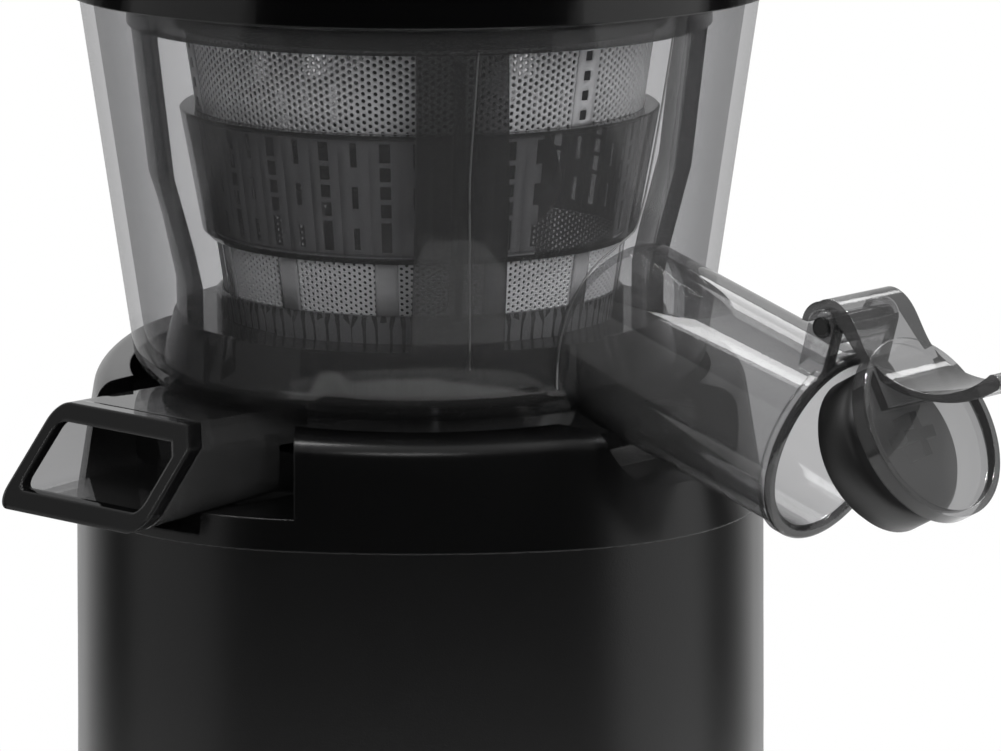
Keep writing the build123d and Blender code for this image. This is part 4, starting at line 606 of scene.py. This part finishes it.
print("sieve", round(sieve_radius(sieve_low.z) / MM, 2), "to", round(sieve_top_radius / MM, 2), "mm")


# %% One hole in its hexagon of sheet
BEYOND_HOLE = 1.01
CORNER_STEP, FLAT_FROM, FLAT_TO = 60, 25, 35


def hexagon_cell(name, pitch, hole_radius, sides):
    """Flat cell of sheet, pitch wide, with one hole of so many sides.

    Twelve sides make a true hexagon. Nine meet only three of its corners, so those cells overlap
    their neighbours a little along the edges and leave a pinhole at every other shared corner.
    """
    bpy.ops.object.select_all(action="DESELECT")
    bpy.ops.mesh.primitive_circle_add(vertices=sides, radius=hole_radius, fill_type="NOTHING")
    obj = bpy.context.object
    obj.name = obj.data.name = name
    corner = pitch / math.sqrt(3)
    bpy.ops.object.mode_set(mode="EDIT")
    bpy.ops.mesh.select_mode(type="VERT")
    bpy.ops.mesh.select_all(action="SELECT")
    bpy.ops.mesh.extrude_region_move()
    bpy.ops.transform.resize(value=(corner / hole_radius, corner / hole_radius, 1))
    bpy.ops.object.mode_set(mode="OBJECT")
    for vertex in obj.data.vertices:
        if vertex.co.length > BEYOND_HOLE * hole_radius:
            turn = math.degrees(math.atan2(vertex.co.y, vertex.co.x)) % CORNER_STEP
            if FLAT_FROM < turn < FLAT_TO:
                vertex.co *= math.sqrt(3) / 2
    return obj


def repeated(obj, count, way):
    """Row of copies, each one way further, with their shared corners merged."""
    apply_modifier(obj, "ARRAY", count=count, use_relative_offset=False, use_constant_offset=True,
                   constant_offset_displace=way, use_merge_vertices=True, merge_threshold=0.00002)


def rolled(obj, width, low, gaps):
    """Rolls a flat strip, so wide along X, onto the cone, leaves gaps open and gives it its thickness."""
    for vertex in obj.data.vertices:
        turn = 2 * math.pi * vertex.co.x / width
        z = low + vertex.co.y
        radius = sieve_radius(z)
        vertex.co = (radius * math.cos(turn), radius * math.sin(turn), z)
    tidy_mesh(obj)

    def in_gap(face):
        turn = math.degrees(math.atan2(face.center.y, face.center.x))
        return any(start < turn < end for start, end in gaps)

    select_faces(obj, in_gap)
    bpy.ops.mesh.delete(type="FACE")
    bpy.ops.object.mode_set(mode="OBJECT")
    return apply_modifier(obj, "SOLIDIFY", thickness=SHEET, offset=-1.0, use_even_offset=False)


def trimmed(obj, low, high):
    """Cuts a flat strip straight at the bottom and the top."""
    pick(obj)
    bpy.ops.object.mode_set(mode="EDIT")
    for height, side in ((low, -1), (high, 1)):
        bpy.ops.mesh.select_all(action="SELECT")
        bpy.ops.mesh.bisect(plane_co=(0, height, 0), plane_no=(0, side, 0), clear_outer=True)
    bpy.ops.object.mode_set(mode="OBJECT")


# %% Upper and lower punched zones
PLATE_COUNT, FIRST_PLATE, PLATE_HALF = 3, -44.7, 2.6
UPPER_PITCH, UPPER_HOLE, UPPER_SIDES = 1.62 * MM, 0.5 * MM, 12
LOWER_PITCH, LOWER_HOLE, LOWER_SIDES = 1.35 * MM, 0.4 * MM, 9
plate_step = 360 / PLATE_COUNT
plate_turns = [(FIRST_PLATE + plate_step * k + 180) % 360 - 180 for k in range(PLATE_COUNT)]
plate_gaps = [(turn - PLATE_HALF, turn + PLATE_HALF) for turn in plate_turns]


def punched_zone(name, low, high, pitch, hole_radius, sides, gaps):
    """Ring of honeycomb sheet between two heights."""
    middle = (sieve_radius(low) + sieve_radius(high)) / 2
    step = pitch * math.sqrt(3) / 2
    pairs = round(2 * math.pi * middle / step / 2)
    rows = math.ceil((high - low) / pitch) + 2
    cell = hexagon_cell(name, pitch, hole_radius, sides)
    repeated(cell, rows, (0, pitch, 0))
    second = cell.copy()
    second.data = cell.data.copy()
    bpy.context.scene.collection.objects.link(second)
    second.data.transform(Matrix.Translation((step, pitch / 2, 0)))
    zone = join(name, second, cell)
    zone.data.transform(Matrix.Translation((0, -pitch, 0)))
    tidy_mesh(zone)
    repeated(zone, pairs, (2 * step, 0, 0))
    trimmed(zone, 0, high - low)
    rolled(zone, 2 * step * pairs, low, gaps)
    print(name, "holes", 2 * pairs * rows)
    return zone


upper_sieve = punched_zone("upper_sieve", belt_high.z, sieve_high.z, UPPER_PITCH, UPPER_HOLE, UPPER_SIDES,
                           plate_gaps)
lower_sieve = punched_zone("lower_sieve", foot_high.z, belt_low.z, LOWER_PITCH, LOWER_HOLE, LOWER_SIDES, [])


# %% Slotted zone behind the belt
SLOT_GAP, TOP_MARGIN = 1.0, 2.3
FIVE_SLOTS, FIVE_WIDTH = (4.4, 3.3, 3.0, 3.2, 6.9), 2.5
THREE_SLOTS, THREE_GAP, THREE_WIDTH = (5.6, 5.1, 5.1), 4.3, 1.6
COLUMN_PAIRS, PLAIN_STRETCH = 22, (-57, -22)
MIDDLE_COLUMN = 0.1


def slot_column(name, left, width, slot_width, slots, gap, low, high):
    """Flat strip of sheet with one column of upright slots."""
    rows = 2 * len(slots) + 1
    bpy.ops.object.select_all(action="DESELECT")
    bpy.ops.mesh.primitive_grid_add(x_subdivisions=3, y_subdivisions=rows, size=1)
    strip = bpy.context.object
    strip.name = strip.data.name = name
    heights = [high - TOP_MARGIN * MM]
    for slot in slots:
        heights += [heights[-1] - slot * MM, heights[-1] - (slot + gap) * MM]
    heights = [high] + heights[:-1] + [low]
    across = [left, left + (width - slot_width) / 2, left + (width + slot_width) / 2, left + width]

    def is_slot(face):
        row = round((0.5 - face.center.y) * rows - 0.5)
        return abs(face.center.x) < MIDDLE_COLUMN and row % 2

    select_faces(strip, is_slot)
    bpy.ops.mesh.delete(type="FACE")
    bpy.ops.object.mode_set(mode="OBJECT")
    for vertex in strip.data.vertices:
        column = round((vertex.co.x + 0.5) * 3)
        row = round((0.5 - vertex.co.y) * rows)
        vertex.co = (across[column], heights[row] - low, 0)
    return strip


def slotted_zone(name, low, high, pairs, gaps):
    """Ring of sheet whose columns have five wide and three narrow slots by turns."""
    width = math.pi * (sieve_radius(low) + sieve_radius(high)) / 2 / pairs
    five = slot_column(name, -width / 2, width, FIVE_WIDTH * MM, FIVE_SLOTS, SLOT_GAP, low, high)
    three = slot_column(name, width / 2, width, THREE_WIDTH * MM, THREE_SLOTS, THREE_GAP, low, high)
    cell = join(name, three, five)
    repeated(cell, pairs, (2 * width, 0, 0))
    return rolled(cell, 2 * width * pairs, low, gaps)


slotted_sieve = slotted_zone("slotted_sieve", belt_low.z, belt_high.z, COLUMN_PAIRS, [PLAIN_STRETCH])

# %% Plain foot of the sieve, hidden in the strainer's cup
plain_foot = turned("plain_foot", [
    (sieve_radius(sieve_low.z), sieve_low.z), (sieve_radius(foot_high.z), foot_high.z),
    (sieve_radius(foot_high.z) - SHEET, foot_high.z), (sieve_radius(sieve_low.z) - SHEET, sieve_low.z),
])
for zone in (upper_sieve, lower_sieve, slotted_sieve, plain_foot):
    place(zone, "bowl", "sieve_steel", sieve_steel)
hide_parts("strainer_mesh")

# %% [markdown]
# ## The belt round the sieve
# A broad belt of smoked plastic stiffens the cone at mid height. It is a thin skirt between two
# narrow shelves that reach the cone, so it is turned from a C-shaped section with bevelled corners.

# %% Belt
BELT_WALL = 1.3 * MM
BELT_PLAY, BELT_INNER_PLAY = 0.1 * MM, 0.15 * MM
TOP_BEVEL, FOOT_BEVEL, FOOT_FILLET = 0.4 * MM, 1.5 * MM, 2.2 * MM
RIM_BAND = 0.8 * MM
BELT_FOOT_RADIUS = 49.46 * MM
belt_top = belt_high.x
top_inside = sieve_radius(belt_high.z) + BELT_PLAY
foot_inside = sieve_radius(belt_low.z) + BELT_PLAY
foot_inner_shelf = sieve_radius(belt_low.z) + BELT_INNER_PLAY
belt = turned("belt", [
    (top_inside, belt_high.z), (belt_top - TOP_BEVEL, belt_high.z),
    (belt_top, belt_high.z - TOP_BEVEL), (BELT_FOOT_RADIUS, belt_low.z + FOOT_BEVEL),
    (BELT_FOOT_RADIUS - FOOT_BEVEL, belt_low.z), (foot_inside, belt_low.z),
    (foot_inner_shelf, belt_low.z + BELT_WALL), (BELT_FOOT_RADIUS - BELT_WALL, belt_low.z + FOOT_FILLET),
    (belt_top - BELT_WALL, belt_high.z - BELT_WALL), (top_inside, belt_high.z - BELT_WALL),
])


def on_belt_rim(face):
    """True on the belt's top and bottom shelves."""
    return min(abs(face.center.z - belt_low.z), abs(face.center.z - belt_high.z)) < RIM_BAND


# The shelves are darkened: partly for the longer way through the tint, partly as painted shade for the dark
# lines that bending of light draws along them.
mark_shaded_rim(belt, on_belt_rim)
place(belt, "bowl", "smoke_clear", belt_smoke, "strainer_belt")

# %% [markdown]
# ## Posts and seam plates of the strainer
# Below the belt clear posts hold the cone in its cup, and above it three plain plates cover the
# seams of the steel. Each plate has four square windows, and a dark strip stands behind it. All
# three are curved sheets, which follow the cone just outside or just inside it.


# %% Posts and plates
POST_COUNT, FIRST_POST, POST_WIDTH, POST_THICK = 12, -98.4, 5.2 * MM, 0.5 * MM
PLATE_WIDTH, PLATE_THICK, PLATE_WINDOWS = 6.4 * MM, 0.3 * MM, 4
BACK_WIDTH, BACK_STAND = 7 * MM, -1.2 * MM
WINDOW_ROWS, OPEN_ROWS, WINDOW_HALF = 4, (1, 2), 0.17
PLATE_COLUMNS = 6


def curved_plate(name, azimuth, low, high, width, thickness, windows, stand=0.05 * MM):
    """Upright plate that stands this far off the cone, with square windows one above the other."""
    rows = WINDOW_ROWS * windows + 1
    bpy.ops.object.select_all(action="DESELECT")
    bpy.ops.mesh.primitive_grid_add(x_subdivisions=PLATE_COLUMNS, y_subdivisions=rows, size=1)
    plate = bpy.context.object
    plate.name = plate.data.name = name
    if windows:

        def in_window(face):
            row = int((face.center.y + 0.5) * rows)
            return abs(face.center.x) < WINDOW_HALF and row % WINDOW_ROWS in OPEN_ROWS

        select_faces(plate, in_window)
        bpy.ops.mesh.delete(type="FACE")
        bpy.ops.object.mode_set(mode="OBJECT")
    for vertex in plate.data.vertices:
        z = low + (vertex.co.y + 0.5) * (high - low)
        radius = sieve_radius(z) + thickness + stand
        turn = math.radians(azimuth) + vertex.co.x * width / radius
        vertex.co = (radius * math.cos(turn), radius * math.sin(turn), z)
    tidy_mesh(plate)
    return apply_modifier(plate, "SOLIDIFY", thickness=thickness, offset=-1.0)


post_turns = [FIRST_POST + 360 / POST_COUNT * k for k in range(POST_COUNT)]
posts = [curved_plate(f"post_{k}", turn, foot_high.z, belt_low.z, POST_WIDTH, POST_THICK, 0)
         for k, turn in enumerate(post_turns)]
plates = [curved_plate(f"plate_{k}", turn, belt_high.z, sieve_high.z, PLATE_WIDTH, PLATE_THICK, PLATE_WINDOWS)
          for k, turn in enumerate(plate_turns)]
place(join("strainer_posts", *posts), "bowl", "smoke_clear", post_clear, "strainer_ribs")
place(join("seam_plates", *plates), "bowl", "sieve_steel", sieve_steel)
backs = [curved_plate(f"back_{k}", turn, belt_high.z, sieve_high.z, BACK_WIDTH, PLATE_THICK, 0, BACK_STAND)
         for k, turn in enumerate(plate_turns)]
place(join("seam_backs", *backs), "bowl", "sieve_steel", core_steel)

# %% [markdown]
# ## Pulp chute and its dark rim
# The chute is one clear moulding, but the frame round its mouth is so thick that it looks black. The
# chute is therefore sawn in two at the frame's depth, so that each half can have a finish of its own.
# The frame's finish is opaque black: partly the real dark of thick tinted plastic, partly painted
# shade for the dark that bending of light gives it.


# %% Sawing a rim off a solid
SLAB = 0.2


def sawn(node, name, corner, out):
    """Two copies of a solid, parted by the plane through corner: what lies behind it and ahead of it."""
    behind, ahead = refined(node, name + "_body"), refined(node, name + "_rim")
    side = Vector((0, 0, 1)).cross(out).normalized()
    turn = Matrix((side, out.cross(side), out)).transposed().to_4x4()
    for obj, operation in ((behind, "DIFFERENCE"), (ahead, "INTERSECT")):
        bpy.ops.object.select_all(action="DESELECT")
        bpy.ops.mesh.primitive_cube_add(size=SLAB)
        slab = bpy.context.object
        slab.matrix_world = Matrix.Translation(corner + out * (SLAB / 2)) @ turn
        combine(obj, slab, operation)
    return behind, ahead


def compass(azimuth):
    """Level unit vector at this azimuth."""
    return Vector((math.cos(math.radians(azimuth)), math.sin(math.radians(azimuth)), 0))


# %% Chute and its rim
CHUTE_AZIMUTH, CHUTE_REACH, CHUTE_RISE, CHUTE_RIM = 226.2, 79.5 * MM, 0.902, 3.0 * MM
chute_way = compass(CHUTE_AZIMUTH)
chute_slope = (chute_way + Vector((0, 0, CHUTE_RISE))).normalized()
chute_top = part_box("pulp_chute")[1].z
chute_corner = chute_way * CHUTE_REACH + Vector((0, 0, chute_top)) - chute_slope * CHUTE_RIM
chute_body, chute_rim = sawn("pulp_chute", "chute", chute_corner, chute_slope)
place(chute_body, "bowl", "smoke_dark", chute_smoke, "pulp_chute")
place(chute_rim, "bowl", "smoke_dark", rim_shade_and_pin_black)

# %% [markdown]
# ## Juice tube
# The tube slants down to its mouth, where a bead runs round it. The bead is thick and its end is seen
# edge on, so it looks much darker than the wall behind it, and it is sawn off to be finished apart in a
# darker smoke: partly the longer way through the tint, partly painted shade for the dark ring that
# bending of light draws at such a thick clear edge.

# %% Tube and its mouth ring
TUBE_AZIMUTH, TUBE_FALL, TUBE_RIM = -40.4, math.radians(17.7), 1.2 * MM
mouth = Vector((90.5, -83.0, 198.0)) * MM
tube_way = compass(TUBE_AZIMUTH) * math.cos(TUBE_FALL) - Vector((0, 0, math.sin(TUBE_FALL)))
tube_body, tube_rim = sawn("juice_tube", "tube", mouth - tube_way * TUBE_RIM, tube_way)
place(tube_body, "bowl", "smoke_clear", smoke_tube, "juice_tube")
place(tube_rim, "bowl", "smoke_clear", smoke_and_rim_shade)

# %% [markdown]
# ## Stopper
# The cap closes the tube with a soft black puck. It stands off the cap's clear disc on a short stem
# with a cross-shaped section, so that the disc stays clear in front of it. The puck is turned, and
# the stem is a cross drawn flat and pulled.

# %% Puck and stem
HINGE_RISE, HINGE_BACK, CAP_OPEN = 28.2 * MM, 4.3 * MM, math.radians(46.4)
DISC_BACK = 5.2 * MM
PUCK_RADIUS, PUCK_FRONT, PUCK_BACK, PUCK_ROUND = 17.6 * MM, 0.5 * MM, -9.6 * MM, 1.6 * MM
HOLLOW_SHARE, HOLLOW_FLOOR_SHARE, HOLLOW_DEPTH = 0.7, 0.66, 1.5 * PUCK_ROUND
ARM, HALF = 5.0 * MM, 1.3 * MM
hinge_way = compass(TUBE_AZIMUTH + 90)
tube_up = tube_way.cross(hinge_way)
hinge = mouth + tube_up * HINGE_RISE - tube_way * HINGE_BACK
cap_out = tube_way * math.cos(CAP_OPEN) + tube_up * math.sin(CAP_OPEN)
cap_up = cap_out.cross(hinge_way)
cap_middle = hinge - cap_up * HINGE_RISE

puck = turned("stopper_puck", [
    (0, PUCK_FRONT), (PUCK_RADIUS - PUCK_ROUND, PUCK_FRONT), (PUCK_RADIUS, PUCK_FRONT - PUCK_ROUND),
    (PUCK_RADIUS, PUCK_BACK + PUCK_ROUND), (PUCK_RADIUS - PUCK_ROUND, PUCK_BACK),
    (PUCK_RADIUS * HOLLOW_SHARE, PUCK_BACK), (PUCK_RADIUS * HOLLOW_FLOOR_SHARE, PUCK_BACK + HOLLOW_DEPTH),
    (0, PUCK_BACK + HOLLOW_DEPTH),
], steps=96, smooth_degrees=50)
cross = [(HALF, ARM), (HALF, HALF), (ARM, HALF), (ARM, -HALF), (HALF, -HALF), (HALF, -ARM),
         (-HALF, -ARM), (-HALF, -HALF), (-ARM, -HALF), (-ARM, HALF), (-HALF, HALF), (-HALF, ARM)]
stem = pulled("stopper_stem", [(x, y, PUCK_FRONT) for x, y in cross], (0, 0, DISC_BACK - PUCK_FRONT))
stopper = join("stopper", stem, puck)
stand_at(stopper, cap_middle, hinge_way, cap_out)
place(stopper, "cap", "black_rubber", black_rubber, "cap_stopper")

# %% [markdown]
# ## Cap
# The cap is a clear disc with a curved lever. Its narrow faces, round the disc and along the lever's
# sides, are marked as rims and darkened: partly because light has a long way through the plastic
# behind them, partly as painted shade for the dark edges that bending of light draws there.

# %% Cap with dark rims
LEVER_SIDE, DISC_EDGE, DISC_TOP = 10 * MM, 17 * MM, 12 * MM
FACES_ALONG_HINGE, FACES_ROUND_DISC = 0.97, 0.3
cap = refined("cap", "cap_shown")


def on_cap_rim(face):
    """True on the lever's two side faces and on the disc's edge."""
    sideways = abs((face.center - hinge).dot(hinge_way))
    beside = abs(face.normal.dot(hinge_way)) > FACES_ALONG_HINGE and sideways > LEVER_SIDE
    away = face.center - cap_middle
    away -= cap_out * away.dot(cap_out)
    on_edge = away.length > DISC_EDGE and away.dot(cap_up) < DISC_TOP
    return beside or (on_edge and abs(face.normal.dot(cap_out)) < FACES_ROUND_DISC)


mark_shaded_rim(cap, on_cap_rim)
place(cap, "cap", "smoke_clear", smoke_pale, "cap")

# %% [markdown]
# ## Shells that keep their form
# The base, the shoulder, the bowl, the pin of the cap, the strainer's base and ring, the auger and the
# pusher are shown as the engineer drew them. Their faces are only smoothed and given a finish.

# %% Clear and black shells that keep the engineer's shape
FINISH = {
    "base_housing": ("base", "satin_black", satin_black),
    "shoulder": ("base", "gloss_black", soft_gloss),
    "juicing_bowl": ("bowl", "smoke_clear", smoke_clear),
    "cap_pin": ("bowl", "steel", rim_shade_and_pin_black),
    "strainer_base": ("bowl", "smoke_clear", smoke_dark),
    "strainer_ring": ("bowl", "smoke_clear", smoke_dark),
    "auger": ("auger", "auger_grey", auger_grey),
    "pusher_body": ("pusher", "gloss_black", gloss_black),
    "pusher_grip": ("pusher", "gloss_black", gloss_black),
}
for node, (body, slot, material) in FINISH.items():
    place(refined(node, node + "_shown"), body, slot, material, node)

# %% [markdown]
# ## Lid
# The lid's skirt ends a little above the bottom of the drawn one, so that the bowl's clear rim shows
# as a grey band below it. The skirt is trimmed straight by taking a flat slab away.

# %% Lid with its skirt trimmed
SKIRT_TRIM, TRIM_BLOCK = 2.1 * MM, 0.3
lid_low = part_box("lid")[0]
lid = refined("lid", "lid_shown")
bpy.ops.object.select_all(action="DESELECT")
bpy.ops.mesh.primitive_cube_add(size=TRIM_BLOCK, location=(0, 0, lid_low.z + SKIRT_TRIM - TRIM_BLOCK / 2))
combine(lid, bpy.context.object, "DIFFERENCE")
place(lid, "lid", "gloss_black", gloss_black, "lid")

# %% [markdown]
# ## Brush cage
# The side arms of the cage lean in towards the belt half way down, and the ring at their feet keeps
# its place, so each arm is bent by moving its points inwards, less and less towards both ends. Then
# its outer face is moved out again a little, which makes the arm deeper.

# %% Cage with bent side arms
ARM_BEND, ARM_DEEPER = 4.6 * MM, 1.8 * MM
BEND_TOP, BEND_TOP_RAMP = 0.92, 0.47
BEND_FOOT, BEND_FOOT_RAMP = 0.08, 0.1
DEEPER_FROM, DEEPER_TO, OUTWARD = 0.14, 0.9, 0.7
cage_low, cage_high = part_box("brush_frame")
cage = refined("brush_frame", "brush_frame_shown")
for vertex in cage.data.vertices:
    height = (vertex.co.z - cage_low.z) / (cage_high.z - cage_low.z)
    from_top = min(1, max(0, (BEND_TOP - height) / BEND_TOP_RAMP))
    share = from_top * min(1, max(0, (height - BEND_FOOT) / BEND_FOOT_RAMP))
    if abs(vertex.co.x) > abs(vertex.co.y):
        vertex.co.x -= math.copysign(ARM_BEND * share, vertex.co.x)
outer = set()
for face in cage.data.polygons:
    height = (face.center.z - cage_low.z) / (cage_high.z - cage_low.z)
    outward = face.normal.x * math.copysign(1, face.center.x)
    on_side_arm = abs(face.center.x) > 2 * abs(face.center.y)
    if on_side_arm and outward > OUTWARD and DEEPER_FROM < height < DEEPER_TO:
        outer.update(face.vertices)
for index in outer:
    vertex = cage.data.vertices[index]
    vertex.co.x += math.copysign(ARM_DEEPER, vertex.co.x)
print("points moved out", len(outer))
place(cage, "cage", "smoke_dark", cage_smoke, "brush_frame")

# %% [markdown]
# ## Juice tube's junction
# A raised bead runs down the bowl and round the root of the juice tube, and catches a thin bright
# line. Its route is given by azimuth in degrees and height in millimetres. It lies half sunk in the
# bowl's cone.


# %% A bead along a route
BEAD_SMOOTH = 60


def bead(points, name, radius):
    """Round bead of this radius along a smooth route, as a mesh."""
    bpy.ops.object.select_all(action="DESELECT")
    bpy.ops.curve.primitive_nurbs_path_add()
    obj = bpy.context.object
    obj.name = obj.data.name = name
    obj.data.splines.clear()
    spline = obj.data.splines.new("NURBS")
    spline.points.add(len(points) - 1)
    for point, spot in zip(spline.points, points):
        point.co = (*spot, 1)
    spline.order_u = 3
    spline.use_endpoint_u = True
    obj.data.bevel_depth = radius
    obj.data.bevel_resolution = 2
    obj.data.use_fill_caps = True
    pick(obj)
    bpy.ops.object.convert(target="MESH")
    return tidy_mesh(bpy.context.object, BEAD_SMOOTH)


# %% Junction bead
BOWL_FOOT, BOWL_FOOT_RADIUS, BOWL_RIM, BOWL_RIM_RADIUS = 199 * MM, 64.4 * MM, 292 * MM, 77.7 * MM
JUNCTION = [(-43, 283), (-45, 242), (-50, 238), (-58, 232), (-63, 217), (-62, 206)]
JUNCTION_RADIUS = 0.25 * MM
bowl_lean = (BOWL_RIM_RADIUS - BOWL_FOOT_RADIUS) / (BOWL_RIM - BOWL_FOOT)
route = [compass(azimuth) * (BOWL_FOOT_RADIUS + (z * MM - BOWL_FOOT) * bowl_lean) + Vector((0, 0, z * MM))
         for azimuth, z in JUNCTION]
place(bead(route, "junction_bead", JUNCTION_RADIUS), "bowl", "smoke_clear", bead_clear)

# %% [markdown]
# ## Seam bead
# Where the two halves of the cage's mould met, a fine polished bead runs down the front arm. It is
# laid on the arm by looking for the arm's surface from in front, at a few heights.

# %% Bead on the front arm
BEAD_TOP_X, BEAD_FOOT_X, BEAD_RADIUS, BEAD_STEPS = 13.6 * MM, 11.6 * MM, 0.22 * MM, 14
TOP_GAP, FOOT_GAP = 4 * MM, 12 * MM
SWING_RATE = 2.5
LOOK_FROM_Y, FRONT_ARM_Y = -0.2, -0.04
bead_points = []
for step in range(BEAD_STEPS + 1):
    share = step / BEAD_STEPS
    x = BEAD_TOP_X + (BEAD_FOOT_X - BEAD_TOP_X) * min(1, SWING_RATE * share)
    z = cage_high.z - TOP_GAP + (cage_low.z + FOOT_GAP - cage_high.z) * share
    found, spot = cage.ray_cast((x, LOOK_FROM_Y, z), (0, 1, 0))[:2]
    if found and spot.y < FRONT_ARM_Y:
        bead_points.append(spot)
place(bead(bead_points, "cage_bead", BEAD_RADIUS), "cage", "smoke_dark", bead_clear)
print("bead points", len(bead_points))
print("cage", round(cage_low.z / MM, 1), round(cage_high.z / MM, 1), "lid from", round(lid_low.z / MM, 1))

# %% [markdown]
# ## Brush blades
# Soft blades wipe the sieve from the cage's front and back arms. The side arms run bare, so that
# juice can drain past them.

# %% Blades on two arms
blades = refined("brush_blades", "brush_blades_shown")
select_faces(blades, lambda face: abs(face.center.x) > abs(face.center.y))
bpy.ops.mesh.delete(type="FACE")
bpy.ops.object.mode_set(mode="OBJECT")
place(blades, "cage", "grey_silicone", grey_silicone, "brush_blades")

# %% [markdown]
# ## What stays as the engineer drew it
# Motor, gears, shafts and screws are already the right shape. Each gets the finish that its slot in
# the parts list asks for.

# %% Finishes of the carried-over solids
PLAIN = {
    "satin_black": satin_black, "gloss_black": gloss_black, "black_rubber": black_rubber, "steel": steel,
    "core_steel": core_steel, "cast_aluminium": cast_aluminium, "copper_wire": copper_wire,
    "circuit_board": circuit_board, "white_nylon": white_nylon, "smoke_clear": smoke_clear,
    "smoke_dark": smoke_dark, "sieve_steel": sieve_steel, "auger_grey": auger_grey,
    "grey_silicone": grey_silicone,
}
slots = {entry["node"]: entry["material_slot"] for entry in frame["record"]["subparts"]}
for node, obj in cad.items():
    obj.data.materials.clear()
    obj.data.materials.append(PLAIN[slots[node]])

# %% [markdown]
# ## Clear walls
# Light may cross many clear walls before it is counted lost.

# %% How many clear walls light may cross
CLEAR_WALLS = 32
bpy.context.scene.cycles.transparent_max_bounces = CLEAR_WALLS
